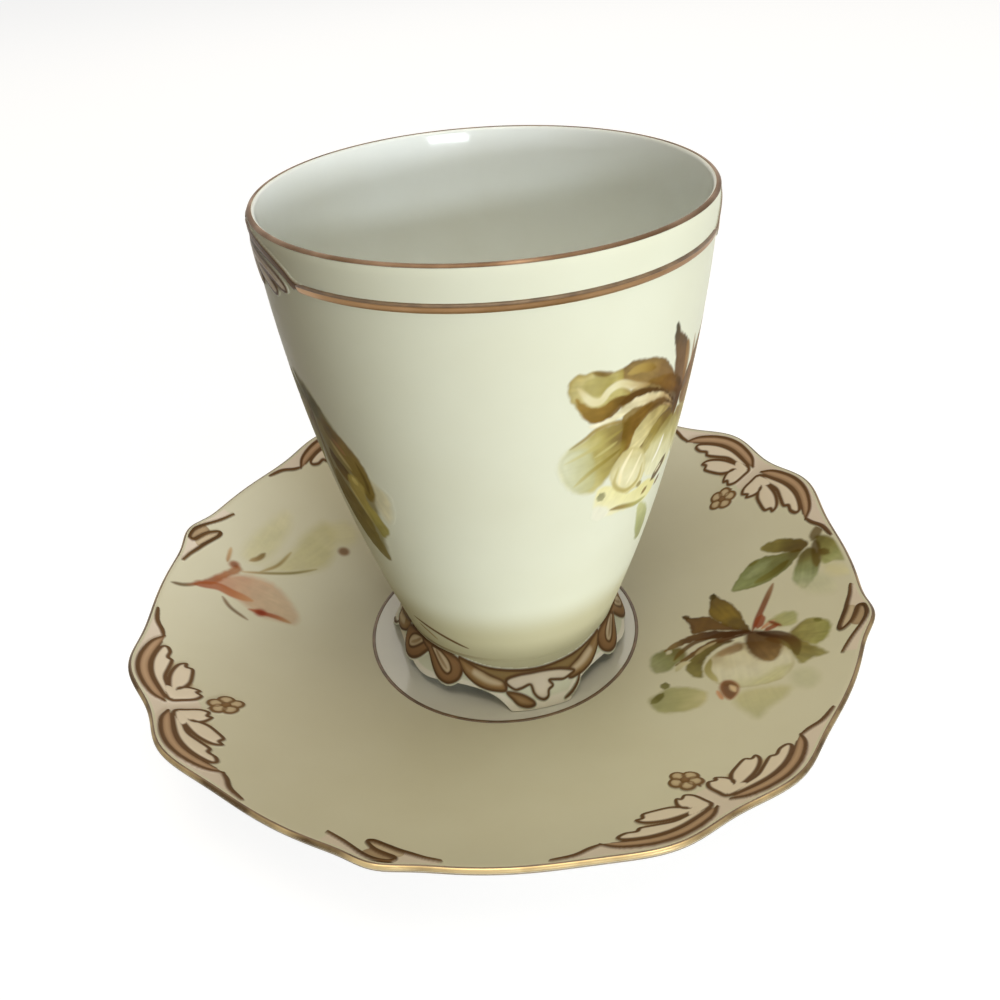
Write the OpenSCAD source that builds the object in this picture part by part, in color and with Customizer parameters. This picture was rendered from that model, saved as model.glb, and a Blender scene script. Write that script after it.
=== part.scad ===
// Chocolate cup and saucer in thin glazed porcelain with a moulded leaf and scroll relief.
// Millimetres, +Z up. The origin is the centre of the saucer's foot ring, on the table.

/* [Saucer] */
// Radius of the plain stretches of the saucer's edge
saucer_edge_r = 62.4; // [56:0.2:72]
// Height of the plain edge above the table
saucer_edge_h = 19.4; // [15:0.2:26]
// Height of the well floor above the table
well_floor_h = 6; // [5:0.2:8]
// Sweep of the dish: 1 is a straight cone, more is flatter near the well
dish_power = 1.6; // [1.2:0.05:2.2]
// Porcelain thickness under the well
saucer_mid_wall = 3; // [2.2:0.1:4]
// Porcelain thickness at the edge
saucer_edge_wall = 2; // [1.4:0.1:2.6]
// Outer radius of the foot ring under the saucer
foot_ring_r = 28; // [22:0.5:36]
// Width of the foot ring
foot_ring_w = 2.6; // [1.6:0.1:4]

/* [Saucer edge] */
// Direction of the first leaf ornament, degrees from +X
leaf_turn = 28; // [0:1:89]
// How far a leaf lobe stands out past the plain edge
leaf_lobe_h = 2.4; // [0.6:0.1:4]
// Angle from the middle of a leaf ornament to each of its two lobes
leaf_lobe_a = 9; // [7:0.5:11]
// Angular width of a leaf lobe
leaf_lobe_w = 7.5; // [6:0.5:9]
// How far the bump behind a scroll stands out
scroll_lobe_h = 1.4; // [0.4:0.1:2.5]
// Angular width of the bump behind a scroll
scroll_lobe_w = 4; // [3:0.5:6]

/* [Relief] */
// Height of the relief above the glaze
relief_h = 0.5; // [0.3:0.05:0.8]
// Angle from the middle of a leaf ornament to its outer corner
leaf_half_a = 16.5; // [13:0.5:18]
// Depth of a leaf ornament, from the gilding inwards
leaf_depth = 8.2; // [6:0.2:11]
// Angle from the middle of a scroll to its end
scroll_half_a = 7.5; // [6:0.5:10]
// Depth of a scroll, from the gilding inwards
scroll_depth = 4.4; // [3.6:0.2:6]
// Width of a scroll's line
scroll_line_w = 0.8; // [0.5:0.1:1]
// Radius of the small flower at the foot of a leaf ornament
flower_r = 2.5; // [1.8:0.1:3.2]

/* [Gilding] */
// Width of the gilded line on the saucer's edge
gilt_w = 0.9; // [0.5:0.1:1.6]
// Thickness of the gilded lines
gilt_h = 0.2; // [0.1:0.05:0.3]
// Width of the line round the well
well_line_w = 0.7; // [0.4:0.1:1.2]
// Height of the gilded lip of the cup
lip_h = 0.6; // [0.4:0.1:1]
// Height of the band under the lip
band_h = 1.3; // [0.8:0.1:2]
// Distance from the top of the lip down to the band
band_drop = 4.7; // [4:0.1:7]
// Height of the line where the body meets the foot
neck_line_h = 0.9; // [0.5:0.1:1.4]

/* [Cup] */
// Height of the cup
cup_h = 82.3; // [70:0.5:95]
// Outer radius at the lip
lip_r = 33; // [29:0.5:37]
// Outer radius where the body meets the foot
neck_r = 18.9; // [16.5:0.1:20]
// Curve of the bell: 1 is a straight cone
bell_power = 1.95; // [1.2:0.05:2.6]
// Share of straight taper in the bell
bell_taper = 0.15; // [0:0.01:0.4]
// Wall at the lip
lip_wall = 1.8; // [1.4:0.1:2.4]
// Wall at the bottom of the body
base_wall = 3.2; // [2.4:0.1:4]
// How far the cup stands off the middle of the well
cup_shift = 1.3; // [0:0.1:2.5]
// How far the cup is turned on the saucer, degrees
cup_turn = 11; // [-30:1:30]

/* [Cup foot] */
// Height of the foot
cup_foot_h = 8.2; // [7:0.1:10]
// Radius of the tongues on which the cup stands
tongue_r = 22.8; // [21.5:0.1:24.5]
// Sweep of the flare: 1 is a straight cone
flare_power = 1.6; // [1.2:0.05:2]
// Wall of the skirt
skirt_wall = 2.4; // [1.8:0.1:3]
// Height of the arches between the tongues
arch_h = 2.6; // [1.6:0.1:3]
// Half the width of an arch
arch_half_w = 16.2; // [14.5:0.1:17]
// How far the arch dips under the loops
arch_dip = 1.2; // [0.4:0.1:1.4]
// Play between the foot and the line round the well
foot_play = 0.3; // [0.2:0.1:1]

/* [Handle] */
// Radius of the handle's section
handle_r = 2.5; // [2:0.1:3]
// Radius of the handle's upper bow
upper_bow_r = 14; // [12:0.5:16]
// Radius of the handle's lower bow
lower_bow_r = 30; // [26:0.5:34]
// Room between the top of the handle and the band above it
handle_room = 2.8; // [1.5:0.1:8]
// How far the middle of the upper bow stands out past the wall beside it
upper_bow_out = 6.2; // [4:0.1:9]

/* [Hidden] */
$fn = 64;

// Colours of the glaze, the gold and the relief
cream = [0.91, 0.90, 0.78];
white_glaze = [0.90, 0.92, 0.90];
brown_gold = [0.55, 0.38, 0.22];
copper_gold = [0.72, 0.47, 0.26];
pale_relief = [0.80, 0.70, 0.58];
brown_line = [0.35, 0.29, 0.22];

// The pattern repeats four times round the saucer and three times round the cup's foot
ornament_step = 90;
foot_step = 120;
// Spacing of the points along the lobed edge, degrees, and counts of points along the curves
edge_step = 2.5;
dish_steps = 16;
bell_steps = 18;
bowl_steps = 20;
flare_steps = 8;
spline_steps = 4;
arch_steps = 24;
// Room between the gilded edge and the relief beside it
relief_gap = 0.15;
// How far a cutting shape runs past what it cuts
over = 2;

// Straight and periodic helpers
function lerp(a, b, t) = a + (b - a) * t;
function wrap(a, period) = a - period * floor(a / period + 0.5);
function bump(a, w) = exp(-pow(a / w, 2));
function polar(r, a) = r * [cos(a), sin(a)];

// Smooth curve through a few chosen points, open or closed
function blend(a, b, c, d, t) =
    0.5 * (2 * b + (c - a) * t + (2 * a - 5 * b + 4 * c - d) * t * t + (3 * b - a - 3 * c + d) * t * t * t);
function pick(p, i) = p[max(0, min(len(p) - 1, i))];
function turn_pick(p, i) = p[(i + len(p)) % len(p)];
function open_curve(p) = concat(
    [for (i = [0 : len(p) - 2], j = [0 : spline_steps - 1])
        blend(pick(p, i - 1), p[i], p[i + 1], pick(p, i + 2), j / spline_steps)],
    [p[len(p) - 1]]);
function closed_curve(p) =
    [for (i = [0 : len(p) - 1], j = [0 : spline_steps - 1])
        blend(turn_pick(p, i - 1), p[i], turn_pick(p, i + 1), turn_pick(p, i + 2), j / spline_steps)];

// Outline of a line of width w drawn along a path, thinned towards both ends by the share thin
function along(p, i) = let (d = pick(p, i + 1) - pick(p, i - 1)) d / norm(d);
function side_step(p, i) = let (d = along(p, i)) [-d[1], d[0]];
function line_half(p, i, w, thin) =
    let (t = i / (len(p) - 1)) w / 2 * (1 - thin * pow(2 * t - 1, 2));
function line_outline(p, w, thin) = concat(
    [for (i = [0 : len(p) - 1]) p[i] + side_step(p, i) * line_half(p, i, w, thin)],
    [for (i = [len(p) - 1 : -1 : 0]) p[i] - side_step(p, i) * line_half(p, i, w, thin)]);

// Lobed edge of the saucer
function edge_r(a) =
    let (leaf_off = wrap(a - leaf_turn, ornament_step))
    let (scroll_off = wrap(a - leaf_turn - ornament_step / 2, ornament_step))
    saucer_edge_r
    + leaf_lobe_h * (bump(leaf_off - leaf_lobe_a, leaf_lobe_w) + bump(leaf_off + leaf_lobe_a, leaf_lobe_w))
    + scroll_lobe_h * bump(scroll_off, scroll_lobe_w);
function edge_outline(inset) = [for (a = [0 : edge_step : 360 - edge_step]) polar(edge_r(a) - inset, a)];

// The line round the well clears the three tongues of the foot where the cup stands
tongue_half_a = foot_step / 2 - asin(arch_half_w / tongue_r);
tongue_dirs = [for (k = [0 : 2], s = [-1, 0, 1]) 270 + cup_turn + foot_step * k + s * tongue_half_a];
foot_reach = max([for (a = tongue_dirs) norm([cup_shift, 0] + polar(tongue_r, a))]);
well_line_r = foot_reach + foot_play;
well_r = well_line_r + well_line_w;

// Top of the dish as a table of radius and height, and its underside
dish_out_r = saucer_edge_r + max(leaf_lobe_h, scroll_lobe_h) + over;
function dish_r(i) = lerp(well_r, dish_out_r, i / dish_steps);
function dish_rise(r) = pow((r - well_r) / (saucer_edge_r - well_r), dish_power);
dish_table = [for (i = [0 : dish_steps])
    [dish_r(i), well_floor_h + (saucer_edge_h - well_floor_h) * dish_rise(dish_r(i))]];
function dish_top(r) = r <= well_r ? well_floor_h : lookup(r, dish_table);
function dish_wall(r) = lerp(saucer_mid_wall, saucer_edge_wall, min(1, r / saucer_edge_r));
function dish_under(r) = dish_top(r) - dish_wall(r);

// Bell of the cup as a table of height and outer radius, heights from the foot of the cup
lip_base_h = cup_h - lip_h;
band_top_h = cup_h - band_drop;
band_low_h = band_top_h - band_h;
neck_top_h = cup_foot_h + neck_line_h;
function bell_share(t) = lerp(1 - pow(1 - t, bell_power), t, bell_taper);
function bell_r(h) = lerp(neck_r, lip_r, bell_share((h - cup_foot_h) / (cup_h - cup_foot_h)));
bell_heights = concat([cup_foot_h],
    [for (i = [0 : bell_steps]) lerp(neck_top_h, band_low_h, i / bell_steps)],
    [band_top_h, lerp(band_top_h, lip_base_h, 0.5), lip_base_h]);
bell_table = [for (h = bell_heights) [h, bell_r(h)]];
function wall_r(h) = lookup(h, bell_table);

// Inside of the cup, rounded into its floor
bowl_floor_h = cup_foot_h + base_wall;
bowl_round = 0.16;
function bowl_wall(s) = lerp(base_wall, lip_wall, min(1, s * 2));
function bowl_close(s) = s >= bowl_round ? 1 : sqrt(1 - pow(1 - s / bowl_round, 2));
function bowl_h(s) = lerp(bowl_floor_h, lip_base_h, s);
function bowl_r(s) = (wall_r(bowl_h(s)) - bowl_wall(s)) * bowl_close(s);

// Flare of the foot, and the arched lower edge between two tongues
function flare_r(h) = neck_r + (tongue_r - neck_r) * pow(max(0, 1 - h / cup_foot_h), flare_power);
flare_table = [for (i = [0 : flare_steps]) let (h = cup_foot_h * i / flare_steps) [h, flare_r(h)]];
function skirt_r(h) = lookup(h, flare_table);
function arch_at(x) = arch_h * (1 - pow(abs(x) / arch_half_w, 4)) - arch_dip * bump(x, arch_half_w / 3);

// Handle: two bows that meet upright at the outermost point and run on into the wall, where they are cut.
// Its top keeps its room to the band, whatever the height of the cup.
upper_bow_h = band_low_h - handle_room - handle_r - upper_bow_r;
upper_bow_y = wall_r(upper_bow_h) + upper_bow_out;
lower_bow_y = upper_bow_y + upper_bow_r - lower_bow_r;
upper_bow_turn = 160;
lower_bow_turn = 95;

// Leaf ornament in shares of its half width and depth: outer scroll, tail, and three-fingered leaf
leaf_scroll = [[0.02, 0.30], [0.12, 0.17], [0.32, 0.09], [0.58, 0.08], [0.82, 0.16], [0.95, 0.30],
    [1, 0.44]];
leaf_tail = [[0.93, 0.40], [1.08, 0.36], [1.24, 0.27], [1.42, 0.16]];
leaf_fingers = [[0.05, 0.24], [0.25, 0.18], [0.5, 0.2], [0.72, 0.28], [0.88, 0.46], [0.76, 0.54],
    [0.55, 0.48], [0.38, 0.44], [0.47, 0.62], [0.6, 0.82], [0.6, 1], [0.46, 0.95],
    [0.35, 0.74], [0.27, 0.54],
    [0.28, 0.68], [0.25, 0.86], [0.16, 0.88], [0.08, 0.74], [0.06, 0.5]];
leaf_scroll_w = 0.16;
leaf_tail_w = 0.1;
leaf_border = 0.07;
flower_depth = 1.16;
flower_petals = 4;
petal_share = 0.48;

// Scroll in shares of its half length and depth: tail, cross stroke and second tail
scroll_tail_in = [[-1, 0.62], [-0.6, 0.5], [-0.25, 0.32], [0.08, 0.14], [0.3, 0.12]];
scroll_cross = [[0.3, 0.12], [0.24, 0.34], [0, 0.58], [-0.24, 0.8], [-0.3, 0.93]];
scroll_tail_out = [[-0.3, 0.93], [-0.05, 0.92], [0.3, 0.66], [0.65, 0.36], [1, 0.22]];
hook_share = 0.62;

// Cup rim relief in shares of its half angle and of the drop to the band: rising scroll and hanging leaf
rim_half_a = 33;
rim_top_drop = 1.6;
rim_scroll = [[0, 0.1], [0.18, 0.06], [0.4, 0.24], [0.68, 0.56], [1, 0.98]];
rim_fingers = [[-0.04, 0.08], [0.2, 0.16], [0.42, 0.36], [0.66, 0.66], [0.86, 0.96], [0.7, 0.98],
    [0.56, 0.8], [0.58, 1.02], [0.44, 1.14], [0.3, 0.96], [0.24, 0.78], [0.24, 1.08],
    [0.12, 1.2], [-0.04, 1.12]];

// Foot leaf and wings, and foot loops, in shares of the foot's height to each side and up
foot_leaf = [[-0.66, 0.56], [-0.56, 0.42], [-0.38, 0.46], [-0.25, 0.45], [-0.24, 0.26], [-0.1, 0.14],
    [0.1, 0.14], [0.24, 0.26], [0.25, 0.45], [0.38, 0.46], [0.56, 0.42], [0.66, 0.56], [0.4, 0.64],
    [0, 0.66], [-0.4, 0.64]];
foot_wing = [[0.08, 0.26], [0.52, 0.32], [0.9, 0.44], [1.2, 0.62], [1.4, 0.84], [1.46, 0.97]];
foot_wing_w = 0.2;
foot_loop_rim = [[0.03, 0.98], [-0.03, 0.62], [-0.16, 0.38], [-0.36, 0.29], [-0.56, 0.39], [-0.67, 0.64],
    [-0.7, 0.98]];
foot_loop_slit = [[-0.27, 0.86], [-0.25, 0.64], [-0.36, 0.47], [-0.47, 0.64], [-0.45, 0.86]];

// A cup piece stands on the well floor, off its middle and turned
module on_saucer() {
    translate([cup_shift, 0, well_floor_h])
        rotate(cup_turn)
            children();
}

// Thin skin over the dish, between its top and a height above it
module dish_skin(inner_r, h) {
    radii = concat([inner_r], [for (p = dish_table) if (p[0] > inner_r + relief_gap) p[0]]);
    rotate_extrude()
        polygon(concat(
            [for (r = radii) [r, dish_top(r)]],
            [for (i = [len(radii) - 1 : -1 : 0]) [radii[i], dish_top(radii[i]) + h]]));
}

// Thin skin over a turned wall given as a table of height and radius
module wall_skin(table, low_h, high_h, h) {
    inner = [for (p = table) if (p[0] > low_h + relief_gap && p[0] < high_h - relief_gap) p[0]];
    heights = concat([low_h], inner, [high_h]);
    rotate_extrude()
        polygon(concat(
            [for (z = heights) [lookup(z, table), z]],
            [for (i = [len(heights) - 1 : -1 : 0]) [lookup(heights[i], table) + h, heights[i]]]));
}

// Block with a drawn outline, upright through the saucer
module upright_block(outline) {
    linear_extrude(saucer_edge_h * 2)
        polygon(outline);
}

// Block with a drawn outline, square to the direction a and reaching out from the axis
module outward_block(a, reach, outline) {
    rotate(a + 90)
        rotate([90, 0, 0])
            linear_extrude(reach)
                polygon(outline);
}

module saucer_body() {
    ring_in_r = foot_ring_r - foot_ring_w;
    under_h = well_floor_h - saucer_mid_wall;
    under = [for (p = dish_table) if (p[0] > foot_ring_r + over) [p[0], dish_under(p[0])]];
    top = [for (i = [dish_steps : -1 : 0]) dish_table[i]];
    color(cream)
    intersection() {
        rotate_extrude()
            polygon(concat([[0, under_h], [ring_in_r - foot_ring_w / 2, under_h], [ring_in_r, 0]],
                [[foot_ring_r, 0], [foot_ring_r, dish_under(foot_ring_r)]],
                under, top, [[0, well_floor_h]]));
        upright_block(edge_outline(0));
    }
}

module saucer_edge_gilding() {
    color(brown_gold)
    intersection() {
        dish_skin(saucer_edge_r - gilt_w - over, gilt_h);
        linear_extrude(saucer_edge_h * 2)
            difference() {
                polygon(edge_outline(0));
                polygon(edge_outline(gilt_w));
            }
    }
}

module saucer_well_line() {
    color(brown_line)
    rotate_extrude()
        translate([well_line_r, well_floor_h])
            square([well_line_w, gilt_h]);
}

// Point of an ornament that hugs the edge: share along it and share inwards, on the side given
function edge_point(p, mid_a, side, half_a, depth) =
    let (a = mid_a + side * p[0] * half_a) polar(edge_r(a) - gilt_w - relief_gap - p[1] * depth, a);
function edge_points(list, mid_a, side, half_a, depth) =
    [for (p = list) edge_point(p, mid_a, side, half_a, depth)];

// Border between the gilding and the outer scrolls, which ties both halves of the leaf together
function leaf_border_line(mid_a) =
    let (reach = leaf_scroll[len(leaf_scroll) - 1][0])
    let (along = [for (t = [-reach : reach / 12 : reach + 0.01]) t])
    concat([for (t = along) edge_point([t, 0], mid_a, 1, leaf_half_a, leaf_depth)],
        [for (i = [len(along) - 1 : -1 : 0])
            edge_point([along[i], 2 * leaf_border + leaf_border * bump(along[i], 0.15)], mid_a, 1,
                leaf_half_a, leaf_depth)]);

module leaf_blocks(mid_a) {
    flower_at = edge_point([0, flower_depth], mid_a, 1, leaf_half_a, leaf_depth);
    stem = [flower_at, edge_point([0.12, 0.8], mid_a, 1, leaf_half_a, leaf_depth)];
    upright_block(leaf_border_line(mid_a));
    for (side = [-1, 1]) {
        scroll = open_curve(edge_points(leaf_scroll, mid_a, side, leaf_half_a, leaf_depth));
        tail = open_curve(edge_points(leaf_tail, mid_a, side, leaf_half_a, leaf_depth));
        upright_block(line_outline(scroll, leaf_scroll_w * leaf_depth, 0.5));
        upright_block(line_outline(tail, leaf_tail_w * leaf_depth, 0.5));
        upright_block(closed_curve(edge_points(leaf_fingers, mid_a, side, leaf_half_a, leaf_depth)));
    }
    upright_block(line_outline(stem, leaf_tail_w * leaf_depth, 0));
    translate(flower_at)
        rotate(mid_a)
            for (k = [0 : flower_petals - 1])
                rotate(45 + k * 360 / flower_petals)
                    translate([flower_r * petal_share, 0])
                        cylinder(saucer_edge_h * 2, r = flower_r * (1 - petal_share));
}

module saucer_leaf_relief(k) {
    color(pale_relief)
    rotate(ornament_step * k)
        intersection() {
            dish_skin(saucer_edge_r - gilt_w - flower_depth * leaf_depth - flower_r - over, relief_h);
            leaf_blocks(leaf_turn);
        }
}

module saucer_leaf_relief_1() { saucer_leaf_relief(0); }
module saucer_leaf_relief_2() { saucer_leaf_relief(1); }
module saucer_leaf_relief_3() { saucer_leaf_relief(2); }
module saucer_leaf_relief_4() { saucer_leaf_relief(3); }

module scroll_blocks(mid_a) {
    for (stroke = [scroll_tail_in, scroll_cross, scroll_tail_out]) {
        path = open_curve(edge_points(stroke, mid_a, 1, scroll_half_a, scroll_depth));
        upright_block(line_outline(path, scroll_line_w, 0));
    }
    for (hook = [scroll_cross[0], scroll_cross[len(scroll_cross) - 1]])
        translate(edge_point(hook, mid_a, 1, scroll_half_a, scroll_depth))
            cylinder(saucer_edge_h * 2, r = scroll_line_w * hook_share);
}

module saucer_scroll_relief(k) {
    color(brown_gold)
    rotate(ornament_step * k)
        intersection() {
            dish_skin(saucer_edge_r - gilt_w - scroll_depth - over, relief_h);
            scroll_blocks(leaf_turn + ornament_step / 2);
        }
}

module saucer_scroll_relief_1() { saucer_scroll_relief(0); }
module saucer_scroll_relief_2() { saucer_scroll_relief(1); }
module saucer_scroll_relief_3() { saucer_scroll_relief(2); }
module saucer_scroll_relief_4() { saucer_scroll_relief(3); }

module cup_body() {
    bowl = [for (i = [bowl_steps : -1 : 0]) [bowl_r(i / bowl_steps), bowl_h(i / bowl_steps)]];
    color(cream)
    on_saucer()
        rotate_extrude()
            polygon(concat([[0, cup_foot_h]], [for (p = bell_table) [p[1], p[0]]], bowl));
}

module cup_foot() {
    roof_h = cup_foot_h - base_wall;
    inside = [for (p = flare_table) if (p[0] < roof_h - relief_gap) [p[1] - skirt_wall, p[0]]];
    color(cream)
    on_saucer()
        difference() {
            rotate_extrude()
                polygon(concat([[0, roof_h]], [[skirt_r(roof_h) - skirt_wall, roof_h]],
                    [for (i = [len(inside) - 1 : -1 : 0]) inside[i]],
                    [for (p = flare_table) [p[1], p[0]]], [[0, cup_foot_h]]));
            for (k = [0 : 2])
                outward_block(90 + foot_step * k, tongue_r + over, concat([[-arch_half_w, -over]],
                    [for (i = [0 : arch_steps])
                        let (x = lerp(-arch_half_w, arch_half_w, i / arch_steps)) [x, arch_at(x)]],
                    [[arch_half_w, -over]]));
        }
}

module cup_handle() {
    color(cream)
    on_saucer()
        difference() {
            rotate([90, 0, 90]) {
                translate([upper_bow_y, upper_bow_h, 0])
                    rotate_extrude(angle = upper_bow_turn)
                        translate([upper_bow_r, 0])
                            circle(handle_r);
                translate([lower_bow_y, upper_bow_h, 0])
                    rotate_extrude(angle = -lower_bow_turn)
                        translate([lower_bow_r, 0])
                            circle(handle_r);
            }
            rotate_extrude()
                polygon(concat([[0, cup_foot_h]], [for (p = bell_table) [p[1], p[0]]], [[0, lip_base_h]]));
        }
}

module cup_lip_gilding() {
    in_r = bowl_r(1);
    out_r = wall_r(lip_base_h);
    color(brown_gold)
    on_saucer()
        rotate_extrude()
            translate([(in_r + out_r) / 2, lip_base_h])
                polygon([for (i = [0 : 10]) [(out_r - in_r) / 2 * cos(18 * i), lip_h * sin(18 * i)]]);
}

// Stretch of the raised band between the two rim reliefs
module cup_band(from_a) {
    color(copper_gold)
    on_saucer()
        rotate(from_a + rim_half_a)
            rotate_extrude(angle = 180 - 2 * rim_half_a)
                polygon([[wall_r(band_low_h), band_low_h], [wall_r(band_low_h) + relief_h / 2, band_low_h],
                    [wall_r(band_top_h) + relief_h, band_top_h - band_h / 3],
                    [wall_r(band_top_h), band_top_h]]);
}

module cup_band_front() { cup_band(180); }
module cup_band_back() { cup_band(0); }

module cup_neck_line() {
    color(brown_line)
    on_saucer()
        rotate_extrude()
            polygon([[wall_r(cup_foot_h), cup_foot_h], [wall_r(neck_top_h) + relief_h, cup_foot_h],
                [wall_r(neck_top_h) + relief_h, cup_foot_h + neck_line_h / 2],
                [wall_r(neck_top_h), neck_top_h]]);
}

// Point of the rim relief on a flat sheet square to its direction
function rim_point(p, side) =
    [side * lip_r * sin(p[0] * rim_half_a),
        cup_h - rim_top_drop - p[1] * (band_drop + band_h / 2 - rim_top_drop)];
function rim_points(list, side) = [for (p = list) rim_point(p, side)];

module cup_rim_relief(a) {
    color(pale_relief)
    on_saucer()
        rotate(a)
            intersection() {
                wall_skin(bell_table, band_low_h - band_drop, lip_base_h, relief_h);
                for (side = [-1, 1]) {
                    outward_block(0, lip_r + over,
                        line_outline(open_curve(rim_points(rim_scroll, side)), band_h, 0.2));
                    outward_block(0, lip_r + over, closed_curve(rim_points(rim_fingers, side)));
                }
            }
}

module cup_rim_relief_left() { cup_rim_relief(180); }
module cup_rim_relief_right() { cup_rim_relief(0); }

function foot_points(list, side) = [for (p = list) [side * p[0] * cup_foot_h, p[1] * cup_foot_h]];

module foot_leaf_relief(k) {
    color(pale_relief)
    on_saucer()
        rotate(foot_step * k)
            intersection() {
                wall_skin(flare_table, 0, cup_foot_h, relief_h);
                union() {
                    outward_block(270, tongue_r + over, closed_curve(foot_points(foot_leaf, 1)));
                    for (side = [-1, 1])
                        outward_block(270, tongue_r + over,
                            line_outline(open_curve(foot_points(foot_wing, side)),
                                foot_wing_w * cup_foot_h, 0.4));
                }
            }
}

module foot_leaf_relief_1() { foot_leaf_relief(0); }
module foot_leaf_relief_2() { foot_leaf_relief(1); }
module foot_leaf_relief_3() { foot_leaf_relief(2); }

module foot_loop_relief(k) {
    color(brown_gold)
    on_saucer()
        rotate(foot_step * k)
            intersection() {
                wall_skin(flare_table, 0, cup_foot_h, relief_h);
                difference() {
                    for (side = [-1, 1])
                        outward_block(90, tongue_r + over, open_curve(foot_points(foot_loop_rim, side)));
                    for (side = [-1, 1])
                        outward_block(90, tongue_r + over, closed_curve(foot_points(foot_loop_slit, side)));
                }
            }
}

module foot_loop_relief_1() { foot_loop_relief(0); }
module foot_loop_relief_2() { foot_loop_relief(1); }
module foot_loop_relief_3() { foot_loop_relief(2); }

saucer_body();
saucer_edge_gilding();
saucer_well_line();
saucer_leaf_relief_1();
saucer_leaf_relief_2();
saucer_leaf_relief_3();
saucer_leaf_relief_4();
saucer_scroll_relief_1();
saucer_scroll_relief_2();
saucer_scroll_relief_3();
saucer_scroll_relief_4();
cup_body();
cup_foot();
cup_handle();
cup_lip_gilding();
cup_band_front();
cup_band_back();
cup_neck_line();
cup_rim_relief_left();
cup_rim_relief_right();
foot_leaf_relief_1();
foot_leaf_relief_2();
foot_leaf_relief_3();
foot_loop_relief_1();
foot_loop_relief_2();
foot_loop_relief_3();
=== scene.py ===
# %% [markdown]
# # A chocolate cup and saucer in painted porcelain
# A tall handled cup stands in a lobed saucer. Both are thin white porcelain under a cream glaze, with a
# low moulded relief that was picked out in brown and pale enamel, fired gold on the edges, and flowers
# painted by hand over the glaze. This lesson dresses the measured solids of the set: every cell makes one
# piece or one finish, in the same place and at the same size as the solid that it stands for.

# %% Load the solids
import math

import bmesh
import bpy
import numpy as np
from mathutils import Matrix, noise


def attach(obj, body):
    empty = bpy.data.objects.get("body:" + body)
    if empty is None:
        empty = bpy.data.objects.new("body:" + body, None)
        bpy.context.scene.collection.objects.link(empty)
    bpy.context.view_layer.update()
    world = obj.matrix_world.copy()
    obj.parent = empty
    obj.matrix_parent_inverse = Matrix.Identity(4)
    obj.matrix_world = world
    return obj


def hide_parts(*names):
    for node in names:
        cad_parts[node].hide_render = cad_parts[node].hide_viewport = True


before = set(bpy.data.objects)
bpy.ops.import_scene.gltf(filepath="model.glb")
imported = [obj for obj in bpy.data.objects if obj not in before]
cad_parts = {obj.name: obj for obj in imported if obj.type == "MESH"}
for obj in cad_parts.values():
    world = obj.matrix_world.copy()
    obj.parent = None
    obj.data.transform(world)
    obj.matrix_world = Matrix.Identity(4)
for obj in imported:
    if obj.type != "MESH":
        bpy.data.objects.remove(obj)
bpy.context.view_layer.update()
MM = 0.001

# %% [markdown]
# ## Camera
# The cup was photographed from close by and from above, so that its lip looks much wider than its foot. A
# 35 mm lens from 19 cm away gives the same steep perspective. The camera's axes are worked out from three
# turns (down, aside and tilted), which is easier to adjust than a matrix of nine numbers.

# %% Camera
eye_mm = np.array([1.55, -139.1, 127.16])
look_down, look_aside, tilt = (math.radians(v) for v in (-33.78, -0.35, -3.89))
ahead = np.array([math.sin(look_aside) * math.cos(look_down),
                  math.cos(look_aside) * math.cos(look_down), math.sin(look_down)])
level = np.cross(ahead, (0, 0, 1))
level /= np.linalg.norm(level)
upward = np.cross(level, ahead)
frame_right = math.cos(tilt) * level + math.sin(tilt) * upward
frame_up = np.cross(frame_right, ahead)
camera = bpy.data.objects.new("camera", bpy.data.cameras.new("camera"))
camera.data.lens = 35.04
camera.data.sensor_width = 36
camera.data.clip_start = 0.01
camera.matrix_world = Matrix([[frame_right[i], frame_up[i], -ahead[i], eye_mm[i] * MM] for i in range(3)]
                             + [[0, 0, 0, 1]])
bpy.context.collection.objects.link(camera)
bpy.context.scene.camera = camera
print("camera", [round(v) for v in eye_mm], "mm, lens", round(camera.data.lens, 1))

# %% [markdown]
# ## The measured shapes
# Turned ware is described by a few curves: the lobed edge and the dish of the saucer, the bell of the cup
# and the flare of its foot. The solids were built from the same curves, so a piece that follows them lies
# on its solid. All lengths are in millimetres and turn into metres only when a mesh is made.

# %% Curves of the saucer and the cup
edge_plain_r, well_floor_z, edge_z = 62.4, 6.0, 19.4
well_line_r, well_r, dish_power = 24.22, 24.92, 1.6
leaf_turn, ornament_step, foot_step = 28.0, 90.0, 120.0
leaf_lobe, leaf_lobe_off, leaf_lobe_width = 2.4, 9.0, 7.5
scroll_lobe, scroll_lobe_width = 1.4, 4.0
cup_shift, cup_turn = 1.3, 11.0
cup_h, lip_r, neck_r, foot_h, tongue_r = 82.3, 33.0, 18.9, 8.2, 22.8
bell_round, bell_straight, bell_power, flare_power = 0.85, 0.15, 1.95, 1.6


def bump(off, width):
    return np.exp(-(off / width) ** 2)


def ease(value, low, high):
    """0 below low, 1 above high and a soft S between them."""
    t = np.clip((value - low) / (high - low), 0, 1)
    return t * t * (3 - 2 * t)


def wrap(angle, period):
    """The angle less whole periods, so that it lies within half a period of zero."""
    return angle - period * np.floor(angle / period + 0.5)


def edge_r(angle):
    leaf = wrap(angle - leaf_turn, ornament_step)
    scroll = wrap(angle - leaf_turn - ornament_step / 2, ornament_step)
    pair = bump(leaf - leaf_lobe_off, leaf_lobe_width) + bump(leaf + leaf_lobe_off, leaf_lobe_width)
    return edge_plain_r + leaf_lobe * pair + scroll_lobe * bump(scroll, scroll_lobe_width)


def dish_z(r):
    share = np.clip((r - well_r) / (edge_plain_r - well_r), 0, None)
    return well_floor_z + (edge_z - well_floor_z) * share ** dish_power


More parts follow.
